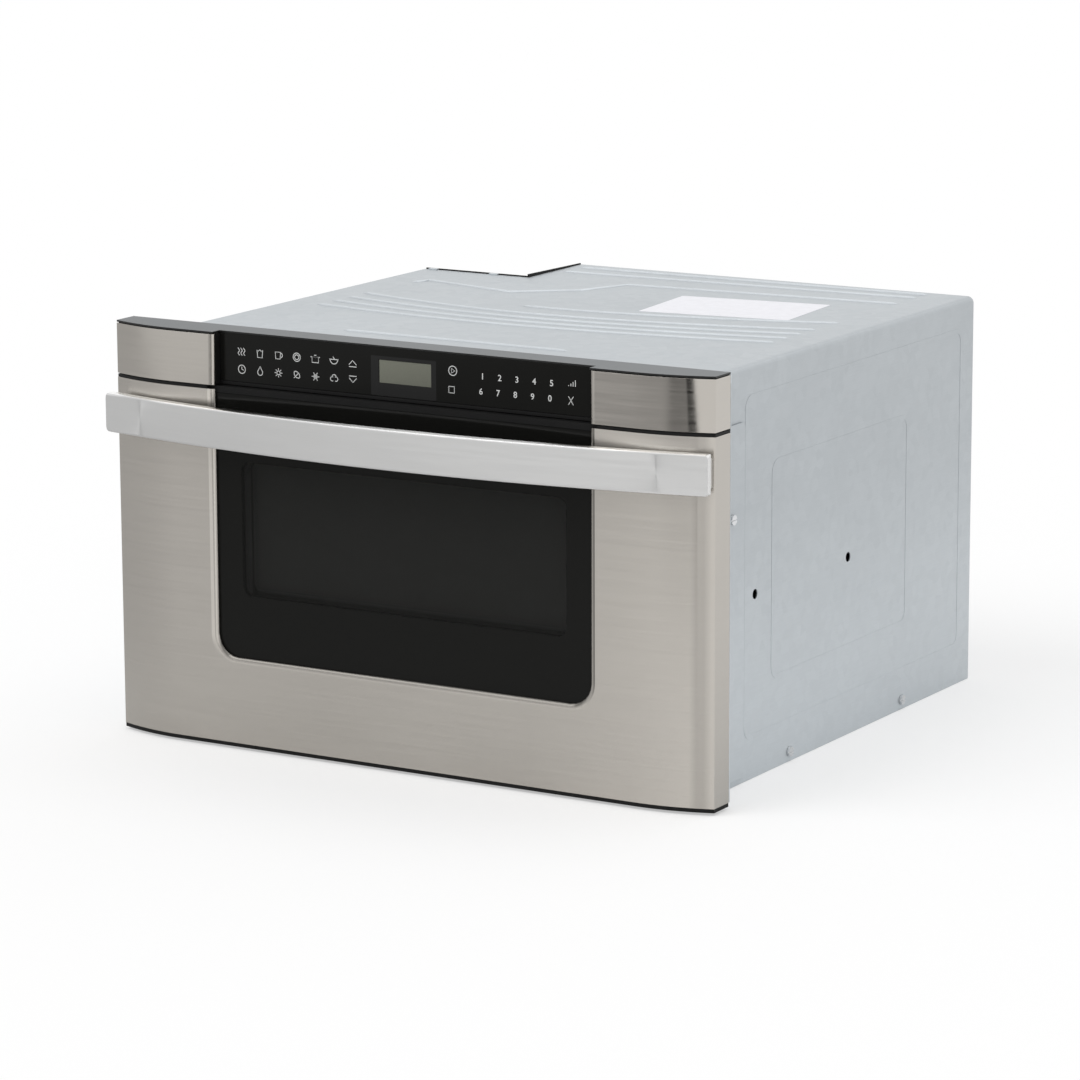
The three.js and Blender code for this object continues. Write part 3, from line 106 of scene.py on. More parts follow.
# Painted light on the black moulding round the screen, lighter towards the screen
FRAME_PAINTED_LIGHT = (0.42, 0.62, SCREEN_FACE - 10 * MM, SCREEN_FACE)
DISPLAY_SLANT = (0.86, 1.12, 338 * MM, 364 * MM)

# Brushed steel
BRUSHING = (0.03, 0.03, 1)  # stretch of its grain
BRUSHED_SPREAD = 0.9
BRUSHED_TURN = 0.25
# Painted shade: a darker strip on the curve near the front's right end
BEND = (DOOR_END - 17.7 * MM, DOOR_END - 5.7 * MM)  # darker strip before the front's right end
BEND_SOFT = 3 * MM
BEND_SHADE = 0.2
# Painted shade at the rear edge of the handle's ends
HANDLE_END_SHADE = 0.9

# Window of the front, with painted highlight and shade lines on the steel round it
GLASS_TUCK = 3 * MM  # of the glass behind the steel
WINDOW_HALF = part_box("window_glass")[1].x - GLASS_TUCK
WINDOW_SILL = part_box("window_glass")[0].z + GLASS_TUCK
WINDOW_CORNER = 20 * MM
WINDOW_TINT = 0.62
GLASS_GLOSS = 0.1
LIP_TOP = 0.6  # above the whole object, so that the lip's sides run straight up
# Painted highlight and shade lines: from and to, outwards, with the change of tone at its left, right
# and foot
LIP_HIGHLIGHT_AND_SHADE_LINES = (
    (0.0, 1.0 * MM, 0.0, -0.1, 0.16),
    (1.1 * MM, 2.2 * MM, 0.34, -0.1, 0.0),
    (2.2 * MM, 3.3 * MM, 0.0, -0.35, 0.0),
    (3.4 * MM, 4.8 * MM, 0.34, -0.65, 0.05),
    (4.8 * MM, 6.6 * MM, 0.34, 0.0, 0.0),
)

# Screen behind the window
SCREEN_MIDDLE = (0.0, 200 * MM)
SCREEN_HALF = (164 * MM, 59 * MM)
SCREEN_CORNER = 9 * MM
HOLE_PITCH = 2.6 * MM
HOLE_EDGE = (0.6 * MM, 0.9 * MM)
PRINT_GAP = 1.2 * MM  # from the screen's edge out to the black print on the glass
FRAME_GAP = 8 * MM  # from the screen's edge out to the black part of the moulding

# Field round the display
FIELD_MIDDLE = (0.0, 347.4 * MM)
FIELD_HALF = (33 * MM, 17.2 * MM)
FIELD_CORNER = 1 * MM

# Edges of the solids, roundings in millimetres
WELD_REACH = 0.01 * MM
SHARP_ANGLE = math.radians(35)
ROUNDINGS = {
    "fascia_end_left": 0.35,
    "fascia_end_right": 0.35,
    "top_cap": 0.3,
    "front_frame": 0.3,
    "control_glass": 0.25,
    "drawer_tub": 0.25,
    "tub_floor_plate": 0.8,
    "ceiling_cover": 0.5,
}

# Print on the glass and label on the top, in millimetres. Heights are from the base,
# and the label's corners are given across and back from the cabinet face.
PRINT_LIFT = 0.06
KEY_START = -167.5
KEY_PITCH = 19.3
UPPER_ROW = 356.4
LOWER_ROW = 341.0
LINE_WIDTH = 0.7
ICON_SCALE = 1.2
DIGIT_HEIGHT = 5.4
DIGIT_PITCH = 17.0
DIGIT_WEIGHT = 0.012  # thickening of the strokes, in sizes of the font
UPPER_DIGITS = (79.5, 355.2)
LOWER_DIGITS = (77.8, 342.1)
LABEL_CORNERS = ((44.5, 300.1), (35.0, 400.3), (180.2, 418.1), (187.9, 319.7))
LABEL_ROUNDING = 0.035  # of half its width
LABEL_THICK = 0.18

# Floor, surroundings and the card that the front mirrors
FLOOR_HALF = 40.0
FLOOR_GREY = (0.78, 0.78, 0.78)
FLOOR_SEEN = (0.55, 0.55, 0.55)  # the rest up to white is its own, so that the shadow stays light
WORLD_LEVEL = 0.62
CARD_X = (-5.0, 0.42)
CARD_Y = (-7.0, -1.5)
CARD_HEIGHT = 0.002
CARD_TONE = (0.85, 0.85, 0.85)
CARD_STEPS = ((-1.12, 0.13, 0.56), (-0.08, 0.04, 0.5), (0.27, 0.01, 0.02))  # place, softness, change


# ---------------------------------------------------------------- materials

class Finish:
    """A material and short calls for its node tree."""

    def __init__(self, name, color, roughness, metallic=0.0):
        self.material = bpy.data.materials.new(name)
        self.material.use_nodes = True
        self.tree = self.material.node_tree
        self.shader = self.tree.nodes["Principled BSDF"]
        self.color = color
        self.set("Base Color", (*color, 1.0))
        self.set("Roughness", roughness)
        self.set("Metallic", metallic)
        self.point = self.node("ShaderNodeTexCoord").outputs["Object"]

    def node(self, kind, **values):
        """A new node with these settings."""
        made = self.tree.nodes.new(kind)
        for key, value in values.items():
            setattr(made, key, value)
        return made

    def link(self, source, target):
        """Leads an output to an input."""
        self.tree.links.new(source, target)

    def set(self, socket, value):
        """A fixed value of the shader."""
        self.shader.inputs[socket].default_value = value

    def feed(self, socket, source):
        """A value of the shader that another node gives."""
        self.link(source, self.shader.inputs[socket])

    def math(self, operation, a, b=0.0, c=0.0):
        """The result of a calculation with numbers or other nodes' values."""
        made = self.node("ShaderNodeMath", operation=operation)
        for slot, value in zip(made.inputs, (a, b, c)):
            if isinstance(value, (int, float)):
                slot.default_value = value
            else:
                self.link(value, slot)
        return made.outputs[0]

    def length(self, a, b):
        """The long side of a right triangle with these two."""
        squares = self.math("ADD", self.math("MULTIPLY", a, a), self.math("MULTIPLY", b, b))
        return self.math("SQRT", squares)

    def parts(self, source):
        """X, Y and Z of a vector."""
        split = self.node("ShaderNodeSeparateXYZ")
        self.link(source, split.inputs[0])
        return split.outputs[0], split.outputs[1], split.outputs[2]

    def axes(self):
        """X, Y and Z of the place on the piece."""
        return self.parts(self.point)

    def facing(self, kind):
        """X, Y and Z of the surface's direction, Normal or True Normal."""
        return self.parts(self.node("ShaderNodeNewGeometry").outputs[kind])

    def noise(self, scale, stretch=(1, 1, 1), detail=2.0):
        """Noise with features of 1/scale metres, stretched along the axes with a small factor."""
        mapping = self.node("ShaderNodeMapping")
        mapping.inputs["Scale"].default_value = stretch
        self.link(self.point, mapping.inputs["Vector"])
        made = self.node("ShaderNodeTexNoise")
        made.inputs["Scale"].default_value = scale
        made.inputs["Detail"].default_value = detail
        self.link(mapping.outputs[0], made.inputs["Vector"])
        return made.outputs["Fac"]

    def span(self, source, low, high, start=0.3, end=0.7):
        """source from start..end spread over low..high."""
        made = self.node("ShaderNodeMapRange")
        self.link(source, made.inputs["Value"])
        for key, value in (("From Min", start), ("From Max", end), ("To Min", low), ("To Max", high)):
            made.inputs[key].default_value = value
        return made.outputs[0]

    def mix(self, factor, first, second, blend="MIX"):
        """The first colour turned into the second by a factor, or blended with it."""
        made = self.node("ShaderNodeMix", data_type="RGBA", blend_type=blend)
        for index, value in ((0, factor), (6, first), (7, second)):
            if isinstance(value, tuple):
                made.inputs[index].default_value = (*value, 1.0)
            elif isinstance(value, (int, float)):
                made.inputs[index].default_value = value
            else:
                self.link(value, made.inputs[index])
        return made.outputs[2]

    def band(self, source, low, high, soft=0.1 * MM):
        """1 from low to high, 0 outside."""
        return self.math("MULTIPLY", self.span(source, 0.0, 1.0, low - soft, low + soft),
                         self.span(source, 1.0, 0.0, high - soft, high + soft))

    def less(self, source, change):
        """1 where source is 0, and less by that change where it is 1."""
        return self.math("SUBTRACT", 1.0, self.math("MULTIPLY", source, change))

    def shade(self, *factors):
        """Base colour times these greys."""
        grey = factors[0]
        for other in factors[1:]:
            grey = self.math("MULTIPLY", grey, other)
        self.feed("Base Color", self.mix(1.0, self.color, grey, "MULTIPLY"))

    def bump(self, source, depth, strength=1.0):
        """Fine relief of that many metres."""
        made = self.node("ShaderNodeBump")
        made.inputs["Distance"].default_value = depth
        made.inputs["Strength"].default_value = strength
        self.link(source, made.inputs["Height"])
        self.feed("Normal", made.outputs[0])


def brushed(name, color, roughness, streaks, mottle):
    """Metal brushed along X, so that its reflections spread up and down, with a list of its tones."""
    finish = Finish(name, color, roughness, 1.0)
    fine = finish.noise(2600, BRUSHING, 3.0)
    coarse = finish.noise(420, BRUSHING, 2.0)
    cloud = finish.noise(7)
    around = finish.node("ShaderNodeTangent", direction_type="RADIAL", axis="Z")
    finish.feed("Tangent", around.outputs[0])
    finish.set("Anisotropic", BRUSHED_SPREAD)
    finish.set("Anisotropic Rotation", BRUSHED_TURN)
    finish.feed("Roughness", finish.span(coarse, roughness - 0.02, roughness + 0.03))
    tones = [
        finish.span(fine, 1 - streaks, 1 + streaks),
        finish.span(coarse, 1 - streaks / 2, 1 + streaks / 2),
        finish.span(cloud, 1 - mottle, 1 + mottle),
    ]
    return finish, tones


def door_brushed():
    """Stainless steel of the front, with painted highlight and shade lines along the rounded edges
    round the black glass, painted shade on faces that look up and on faces that look right, painted
    light towards its right end and a painted shade strip on its bend.
    """
    finish, tones = brushed("door_steel", STEEL, 0.24, 0.018, 0.02)
    x, _, z = finish.axes()
    height = (LIP_TOP - WINDOW_SILL) / 2
    middle = (0.0, WINDOW_SILL + height)
    _, apart = rounded_mask(finish, x, z, middle, (WINDOW_HALF, height), WINDOW_CORNER, MM)
    upright = finish.span(z, 0.0, 1.0, WINDOW_SILL, WINDOW_SILL + WINDOW_CORNER)
    right = finish.math("MULTIPLY", upright, finish.math("GREATER_THAN", x, 0.0))
    left = finish.math("SUBTRACT", upright, right)
    foot = finish.math("SUBTRACT", 1.0, upright)
    # Painted highlight lines at the left and foot of the lip, and painted shade lines at its right
    for low, high, *changes in LIP_HIGHLIGHT_AND_SHADE_LINES:
        shares = [finish.math("MULTIPLY", side, change)
                  for side, change in zip((left, right, foot), changes)]
        change = finish.math("ADD", finish.math("ADD", shares[0], shares[1]), shares[2])
        line = finish.band(apart, low, high)
        tones.append(finish.math("ADD", 1.0, finish.math("MULTIPLY", line, change)))
    # Painted shade on faces that look up and on faces that look right, and painted light towards the
    # right end
    right_face, _, upper_face = finish.facing("Normal")
    tones.append(finish.span(upper_face, *DOOR_SHADE_FACING_UP))
    tones.append(finish.span(right_face, *DOOR_SHADE_FACING_RIGHT))
    tones.append(finish.span(x, *DOOR_LIGHT_ALONG))
    # Painted shade strip on the bend
    tones.append(finish.less(finish.band(x, *BEND, BEND_SOFT), BEND_SHADE))
    finish.shade(*tones)
    return finish.material


def fascia_brushed():
    """Stainless steel of the strip's ends, smoother than the door's, with painted light on the left
    block and a painted highlight at the right end.
    """
    finish, tones = brushed("fascia_steel", STEEL, 0.1, 0.018, 0.02)
    x, _, _ = finish.axes()
    tones.append(finish.span(x, *FASCIA_LIGHT_LEFT))
    tones.append(finish.span(x, *FASCIA_HIGHLIGHT_RIGHT))
    finish.shade(*tones)
    return finish.material


def handle_brushed():
    """Satin handle, with a painted highlight on its upper edge, painted light along its length and
    painted shade at the rear edge of its ends.
    """
    finish, tones = brushed("handle_steel", HANDLE_GREY, 0.3, 0.01, 0.015)
    x, y, _ = finish.axes()
    _, _, upper_face = finish.facing("Normal")
    # Painted highlight on faces that look up, and painted light along the handle
    tones.append(finish.span(upper_face, *HANDLE_HIGHLIGHT_FACING_UP))
    tones.append(finish.span(x, *HANDLE_LIGHT_LEFT))
    tones.append(finish.span(x, *HANDLE_LIGHT_RIGHT))
    # Painted shade on the rear edge of each end
    away = finish.math("ABSOLUTE", x)
    end = finish.span(away, 0.0, 1.0, HANDLE_END - 0.6 * MM, HANDLE_END - 0.2 * MM)
    rear = finish.span(y, 0.0, 1.0, HANDLE_REAR - 3 * MM, HANDLE_REAR - 2 * MM)
    tones.append(finish.less(finish.math("MULTIPLY", end, rear), HANDLE_END_SHADE))
    finish.shade(*tones)
    return finish.material


def zinc_coated(name, color, roughness=0.46, metallic=0.55):
    """Galvanised sheet: soft crystals, faint clouds and a rolled grain, with a painted highlight on
    raised ribs, painted light and shade on their slopes, lighter painted sides and painted light near
    the foot.
    """
    finish = Finish(name, color, roughness, metallic)
    # Painted light on the sides, painted light and shade on the slopes, a painted highlight on the
    # crests and painted light near the foot
    across, back, up = finish.facing("True Normal")
    side = finish.span(finish.math("ABSOLUTE", across), *SHEET_SIDE_LIGHT)
    _, _, z = finish.axes()
    slope_light_and_shade = finish.math("MULTIPLY", back, finish.span(up, *SHEET_SLOPE_LIGHT_AND_SHADE))
    crest_highlight = finish.span(z, *SHEET_CREST_HIGHLIGHT)
    foot = finish.span(z, *SHEET_FOOT_LIGHT)
    crystals = finish.node("ShaderNodeTexVoronoi")
    crystals.inputs["Scale"].default_value = 110
    finish.link(finish.point, crystals.inputs["Vector"])
    first, second, _ = finish.parts(crystals.outputs["Color"])
    cloud = finish.noise(5, detail=4.0)
    grain = finish.noise(900, (1, 0.06, 1), 2.0)
    finish.shade(
        finish.span(first, 0.985, 1.012, 0, 1),
        finish.span(cloud, 0.965, 1.025),
        finish.span(grain, 0.985, 1.012),
        crest_highlight,
        foot,
        side,
        finish.math("ADD", 1.0, slope_light_and_shade),
    )
    finish.feed("Roughness", finish.span(second, roughness - 0.05, roughness + 0.05, 0, 1))
    finish.bump(grain, 0.015 * MM, 0.3)
    return finish.material


def bright_metal(name, color, roughness):
    """Machined or plated steel with faint scratches."""
    finish = Finish(name, color, roughness, 1.0)
    scratch = finish.noise(700, (1, 0.12, 1), 3.0)
    cloud = finish.noise(60)
    finish.shade(finish.span(cloud, 0.93, 1.04))
    finish.feed("Roughness", finish.span(scratch, roughness - 0.06, roughness + 0.1))
    finish.bump(scratch, 0.01 * MM, 0.3)
    return finish.material


def moulded(name, color, roughness=0.5, grain=0.03, gloss=0.5):
    """Moulded plastic or rubber with a fine eroded grain."""
    finish = Finish(name, color, roughness)
    finish.set("Specular IOR Level", gloss)
    fine = finish.noise(1500, detail=3.0)
    cloud = finish.noise(25)
    finish.shade(finish.span(cloud, 0.92, 1.08))
    finish.feed("Roughness", finish.span(fine, roughness - 0.05, roughness + 0.08))
    finish.bump(fine, grain * MM, 0.5)
    return finish.material


def polished(name, color, roughness=0.06):
    """Glass or glaze with faint wiping marks."""
    finish = Finish(name, color, roughness)
    wipes = finish.noise(22, (1, 1, 0.4), 4.0)
    dust = finish.noise(600)
    finish.shade(finish.span(dust, 0.95, 1.06))
    finish.feed("Roughness", finish.span(wipes, roughness, roughness + 0.05))
    finish.bump(finish.noise(3), 0.03 * MM, 0.4)
    return finish


def cap_paint():
    """Grey paint on the flat top of the cap, black on its edges."""
    finish = Finish("cap_paint", CAP_GREY, 0.42, 0.3)
    _, _, upper_face = finish.facing("True Normal")
    top = finish.math("GREATER_THAN", upper_face, 0.7)
    cloud = finish.noise(9)
    x, _, _ = finish.axes()
    tone = finish.math("MULTIPLY", finish.span(cloud, 0.94, 1.06), finish.span(x, *CAP_ALONG))
    grey = finish.mix(1.0, CAP_GREY, tone, "MULTIPLY")
    finish.feed("Base Color", finish.mix(top, BLACK, grey))
    finish.bump(finish.noise(1200), 0.01 * MM, 0.4)
    return finish.material


def rounded_mask(finish, across, up, centre, half, radius, soft):
    """1 inside a rectangle with round corners and 0 outside, and the distance out from its edge."""
    def beyond(value, middle, reach):
        apart = finish.math("ABSOLUTE", finish.math("SUBTRACT", value, middle))
        return finish.math("SUBTRACT", apart, reach - radius)
    px = beyond(across, centre[0], half[0])
    pz = beyond(up, centre[1], half[1])
    corner = finish.length(finish.math("MAXIMUM", px, 0.0), finish.math("MAXIMUM", pz, 0.0))
    side = finish.math("MINIMUM", finish.math("MAXIMUM", px, pz), 0.0)
    distance = finish.math("SUBTRACT", finish.math("ADD", corner, side), radius)
    return finish.span(distance, 1.0, 0.0, -soft, soft), distance


def perforated():
    """Grey screen with a grid of dark round holes, seen through the window."""
    finish = Finish("perforated_screen", SCREEN_GREY, 0.6)
    x, _, z = finish.axes()
    row_pitch = HOLE_PITCH * math.sqrt(3) / 2
    row = finish.math("ROUND", finish.math("DIVIDE", z, row_pitch))
    shift = finish.math("MULTIPLY", finish.math("MODULO", row, 2.0), HOLE_PITCH / 2)
    du = finish.math("WRAP", finish.math("ADD", x, shift), HOLE_PITCH / 2, -HOLE_PITCH / 2)
    dv = finish.math("WRAP", z, row_pitch / 2, -row_pitch / 2)
    hole = finish.span(finish.length(du, dv), 1.0, 0.0, *HOLE_EDGE)
    inside, distance = rounded_mask(finish, x, z, SCREEN_MIDDLE, SCREEN_HALF, SCREEN_CORNER, 0.5 * MM)
    faded = finish.math("MULTIPLY", hole, finish.span(distance, *SCREEN_RIM))
    lit = finish.mix(faded, SCREEN_GREY, HOLE_BLACK)
    finish.feed("Base Color", finish.mix(inside, SCREEN_EDGE, lit))
    return finish.material


def window_frame():
    """Black moulding behind the glass, with painted light round the screen: grey there and lighter
    towards it.
    """
    finish = Finish("window_frame", BLACK, 0.5)
    x, y, z = finish.axes()
    half = [reach + FRAME_GAP for reach in SCREEN_HALF]
    # Painted light: the moulding grey near the screen, lighter towards it
    near, _ = rounded_mask(finish, x, z, SCREEN_MIDDLE, half, SCREEN_CORNER, MM)
    grey = finish.mix(1.0, WHITE, finish.span(y, *FRAME_PAINTED_LIGHT), "MULTIPLY")
    finish.feed("Base Color", finish.mix(near, BLACK, grey))
    finish.bump(finish.noise(1500, detail=3.0), 0.03 * MM, 0.5)
    return finish.material


def window_tint():
    """Dark front glass that lets a little of the screen through."""
    finish = polished("window_tint", KEY_BLACK)
    x, _, z = finish.axes()
    half = [reach + PRINT_GAP for reach in SCREEN_HALF]
    clear, _ = rounded_mask(finish, x, z, SCREEN_MIDDLE, half, SCREEN_CORNER, 0.3 * MM)
    finish.feed("Alpha", finish.span(clear, 1.0, WINDOW_TINT, 0.0, 1.0))
    finish.set("Specular IOR Level", GLASS_GLOSS)
    return finish.material


def key_glass():
    """Black glass of the control strip, with a slightly lighter field round the display."""
    finish = polished("key_glass", KEY_BLACK)
    x, _, z = finish.axes()
    field, _ = rounded_mask(finish, x, z, FIELD_MIDDLE, FIELD_HALF, FIELD_CORNER, 0.2 * MM)
    finish.feed("Base Color", finish.mix(field, KEY_BLACK, FIELD_GREY))
    finish.set("Specular IOR Level", GLASS_GLOSS)
    return finish.material


def crystal_display():
    """Unlit grey-olive display, a little lighter at its upper left."""
    finish = Finish("crystal_display", DISPLAY_OLIVE, 0.35)
    x, _, z = finish.axes()
    slant = finish.math("SUBTRACT", z, finish.math("MULTIPLY", x, 0.25))
    finish.shade(finish.span(slant, *DISPLAY_SLANT), finish.span(finish.noise(900), 0.97, 1.03))
    finish.feed("Roughness", finish.span(finish.noise(700), 0.3, 0.4))
    return finish.material


def laminate():
    """Green circuit board with darker tracks."""
    finish = Finish("laminate", (0.03, 0.12, 0.05), 0.45)
    finish.shade(finish.span(finish.noise(160, (1, 1, 0.2)), 0.6, 1.3, 0.45, 0.55))
    return finish.material


def windings():
    """Varnished copper coil with fine turns."""
    finish = Finish("windings", (0.32, 0.12, 0.045), 0.35, 0.8)
    _, _, z = finish.axes()
    turns = finish.math("SINE", finish.math("MULTIPLY", z, 4200.0))
    finish.shade(finish.span(turns, 0.7, 1.1, -1, 1))
    finish.bump(turns, 0.05 * MM, 0.6)
    return finish.material


def paper():
    """Blank white label with a faint fibre."""
    finish = Finish("label_paper", LABEL_WHITE, 0.55)
    finish.shade(finish.span(finish.noise(120, detail=4.0), 0.965, 1.02))
    finish.bump(finish.noise(90, detail=3.0), 0.08 * MM, 0.35)
    return finish.material


def ink():
    """White print on the glass, slightly uneven."""
    finish = Finish("white_ink", PRINT_WHITE, 0.5)
    finish.shade(finish.span(finish.noise(1400), 0.85, 1.1))
    return finish.material


door_steel = door_brushed()
fascia_steel = fascia_brushed()
handle_steel = handle_brushed()
sheet_zinc = zinc_coated("sheet_zinc", ZINC_SHEET)
black_moulding = moulded("black_moulding", (0.009, 0.009, 0.009), gloss=0.15)
rail_zinc = bright_metal("rail_zinc", (0.58, 0.60, 0.61), 0.36)
screw_steel = bright_metal("screw_steel", (0.70, 0.71, 0.72), 0.28)
glazed_white = polished("glazed_white", (0.80, 0.78, 0.73), 0.14).material
pane_glass = polished("pane_glass", (0.02, 0.02, 0.02)).material
gear_nylon = moulded("gear_nylon", (0.78, 0.76, 0.70), 0.45, 0.01)

finishes = {
    door_steel: ("door_outer_panel",),
    fascia_steel: ("fascia_end_left", "fascia_end_right"),
    handle_steel: ("handle_bar", "handle_post_left", "handle_post_right"),
    sheet_zinc: ("outer_cover", "base_pan", "rear_panel", "front_frame", "waveguide"),
    zinc_coated("cavity_enamel", (0.50, 0.50, 0.49), 0.4, 0.35): ("oven_cavity", "drawer_tub"),
    cap_paint(): ("top_cap",),
    key_glass(): ("control_glass",),
    window_tint(): ("window_glass",),
    crystal_display(): ("display_module",),
    perforated(): ("window_screen",),
    pane_glass: ("inner_window_pane",),
    window_frame(): ("door_inner_frame",),
    black_moulding: ("control_housing", "door_top_trim", "door_bottom_trim", "choke_ring",
                     "fan_housing", "fan_impeller", "drive_motor", "interlock_switch_left",
                     "interlock_switch_right", "notch_edge_trim"),
    moulded("cord_rubber", (0.02, 0.02, 0.02), 0.7, 0.02): ("cord_gland",),
    gear_nylon: ("drive_rack", "drive_pinion", "latch_hook_left", "latch_hook_right"),
    rail_zinc: ("outer_rail_left", "outer_rail_right", "middle_rail_left", "middle_rail_right",
                "drawer_rail_left", "drawer_rail_right", "stirrer_antenna"),
    screw_steel: ("magnetron", "antenna_motor", "fan_motor", "capacitor", "handle_screw_left",
                  "handle_screw_right", "cover_screw_left_base_1", "cover_screw_left_base_2",
                  "cover_screw_left_front", "cover_screw_right_base_1", "cover_screw_right_base_2",
                  "cover_screw_right_front"),
    glazed_white: ("ceiling_cover", "tub_floor_plate"),
    laminate(): ("control_board",),
    windings(): ("transformer",),
    polished("lamp_lens", (0.80, 0.74, 0.55), 0.2).material: ("oven_lamp",),
}

for material, names in finishes.items():
    for name in names:
        mesh = nodes[name].data
        mesh.materials.clear()
        mesh.materials.append(material)


# ---------------------------------------------------------------- edges of the solids

def soften(name, width):
    """Smooth shading over the curves of a solid, with its sharp edges crisp or rounded."""
    node = nodes[name]
    mesh = node.data
    mesh.shade_smooth()
    for attribute in ("custom_normal", "sharp_edge"):
        if attribute in mesh.attributes:
            mesh.attributes.remove(mesh.attributes[attribute])
    joined = node.modifiers.new("joined_triangles", "WELD")
    joined.merge_threshold = WELD_REACH
    if width:
        bevel = node.modifiers.new("edge_rounding", "BEVEL")
        bevel.width = width * MM
        bevel.segments = 2
        bevel.limit_method = "ANGLE"
        bevel.angle_limit = SHARP_ANGLE
    else:
        crisp = node.modifiers.new("crisp_edges", "EDGE_SPLIT")
        crisp.split_angle = SHARP_ANGLE
        crisp.use_edge_sharp = False
    even = node.modifiers.new("even_shading", "WEIGHTED_NORMAL")
    even.mode = "FACE_AREA"


for name in nodes:
    soften(name, ROUNDINGS.get(name, 0.0))


# ---------------------------------------------------------------- added pieces

def piece(name, bm, material, body):
    """A named object from a bmesh, riding on a body."""
    mesh = bpy.data.meshes.new(name)
    bm.to_mesh(mesh)
    bm.free()
    mesh.materials.append(material)
    made = bpy.data.objects.new(name, mesh)
    bpy.context.scene.collection.objects.link(made)
    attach(made, body)


def arc(x, z, radius, start=0, end=360, steps=14):
    """Points along an arc, in degrees anticlockwise from +X."""
    angles = [math.radians(start + (end - start) * k / steps) for k in range(steps + 1)]
    return [(x + radius * math.cos(a), z + radius * math.sin(a)) for a in angles]


def on_glass(x, z):
    """A place just before the control glass, in metres from millimetres."""
    return Vector((x * MM, GLASS_FACE - PRINT_LIFT * MM, z * MM))


def ribbon(bm, points, width, origin):
    """A flat line of print through points given in millimetres."""
    closed = math.dist(points[0], points[-1]) < 1e-6
    path = points[:-1] if closed else points
    rows = []
    for k, (x, z) in enumerate(path):
        before = path[k - 1] if closed or k else path[k]
        after = path[(k + 1) % len(path)] if closed or k + 1 < len(path) else path[k]
        along = Vector((after[0] - before[0], after[1] - before[1])).normalized()
        side = Vector((-along.y, along.x)) * width / 2
        pair = [(x + s * side.x, z + s * side.y) for s in (-1, 1)]
        rows.append([bm.verts.new(on_glass(origin[0] + a, origin[1] + b)) for a, b in pair])
    count = len(rows)
    for k in range(count if closed else count - 1):
        a, b = rows[k], rows[(k + 1) % count]
        bm.faces.new((a[0], b[0], b[1], a[1]))


def steam(x):
    """A wavy line that rises at x."""
    heights = (-2.6, -1.8, -1.0, -0.2, 0.6, 1.4, 2.2, 3.0)
    return [(x + 0.7 * math.sin(z * 1.6), z) for z in heights]


def rays(inner, outer, count):
    """Lines outwards from a centre, evenly spread."""
    turns = [2 * math.pi * k / count for k in range(count)]
    return [[(r * math.cos(a), r * math.sin(a)) for r in (inner, outer)] for a in turns]


def chevron(direction):
    """An open arrow head, pointing up with 1 and down with -1."""
    return [(-3.2, -1.6 * direction), (0, 1.6 * direction), (3.2, -1.6 * direction)]


# Plain pictograms in place of the words on the keys
def icon_steam():
    return [steam(-2.4), steam(0), steam(2.4)]


def icon_bag():
    torn_edge = [(1.2, 1.8), (0, 2.8), (-1.2, 1.8)]
    return [[(-2.4, 2.6), (-2.0, -3), (2.0, -3), (2.4, 2.6), *torn_edge, (-2.4, 2.6)]]


def icon_cup():
    cup = [(-2.6, 2.4), (-2.2, -2.6), (1.6, -2.6), (2.0, 2.4), (-2.6, 2.4)]
    ear = arc(1.9, 0.2, 1.7, -75, 75, 8)
    return [cup, ear]


def icon_plate():
    return [arc(0, 0, 3.1), arc(0, 0, 1.8)]


def icon_pot():
    pot = [(-2.8, 1.4), (-2.8, -2.6), (2.8, -2.6), (2.8, 1.4), (-2.8, 1.4)]
    lid = [(-4, 1.4), (4, 1.4)]
    knob = [(-0.9, 2.7), (0.9, 2.7)]
    return [pot, lid, knob]


def icon_bowl():
    return [arc(0, 1.0, 3.3, 180, 360, 10), [(-3.9, 1.0), (3.9, 1.0)], steam(0)[5:]]


def icon_open():
    return [chevron(1), [(-3.2, -3), (3.2, -3)]]


def icon_close():
    return [chevron(-1), [(-3.2, 3), (3.2, 3)]]


def icon_clock():
    return [arc(0, 0, 3.1), [(0, 1.9), (0, 0), (1.5, -0.6)]]


def icon_drop():
    return [[(0, 3.4), *arc(0, -1, 2.2, 45, -225, 12), (0, 3.4)]]


def icon_sun():
    return [arc(0, 0, 1.5, 0, 360, 10), *rays(2.2, 3.3, 8)]


def icon_flake():
    return rays(0.2, 3.3, 6) + [arc(0, 0, 1.7, 0, 360, 6)]


def icon_leaf():
    blade = arc(-1.2, -1.2, 3.6, -15, 105, 8) + arc(1.2, 1.2, 3.6, 165, 285, 8)
    stalk = [(-2.6, -2.6), (1.6, 1.6)]
    return [blade, stalk]


def icon_soft():
    left = arc(-1.6, -0.4, 1.6, 60, 300, 8)
    right = arc(1.6, -0.4, 1.6, -120, 120, 8)
    top = arc(0, 0.9, 1.9, 0, 180, 8)
    return [left, right, top]


def icon_start():
    return [arc(0, 0, 3.4), [(-1.1, 1.7), (1.8, 0), (-1.1, -1.7), (-1.1, 1.7)]]


def icon_stop():
    return [[(-2.3, -2.3), (2.3, -2.3), (2.3, 2.3), (-2.3, 2.3), (-2.3, -2.3)]]


def icon_power():
    return [[(x, -2.6), (x, x * 0.7)] for x in (-2.7, -0.9, 0.9, 2.7)]


def icon_glass():
    return [[(-2, 3), (2, 3), (-2, -3), (2, -3), (-2, 3)]]


upper_icons = (icon_steam, icon_bag, icon_cup, icon_plate, icon_pot, icon_bowl, icon_open)
lower_icons = (icon_clock, icon_drop, icon_sun, icon_leaf, icon_flake, icon_soft, icon_close)
right_keys = (
    (icon_start, 49.8, 357.8),
    (icon_stop, 48.5, 341.4),
    (icon_power, 167.4, 357.5),
    (icon_glass, 166.3, 342.1),
)
print_white = ink()


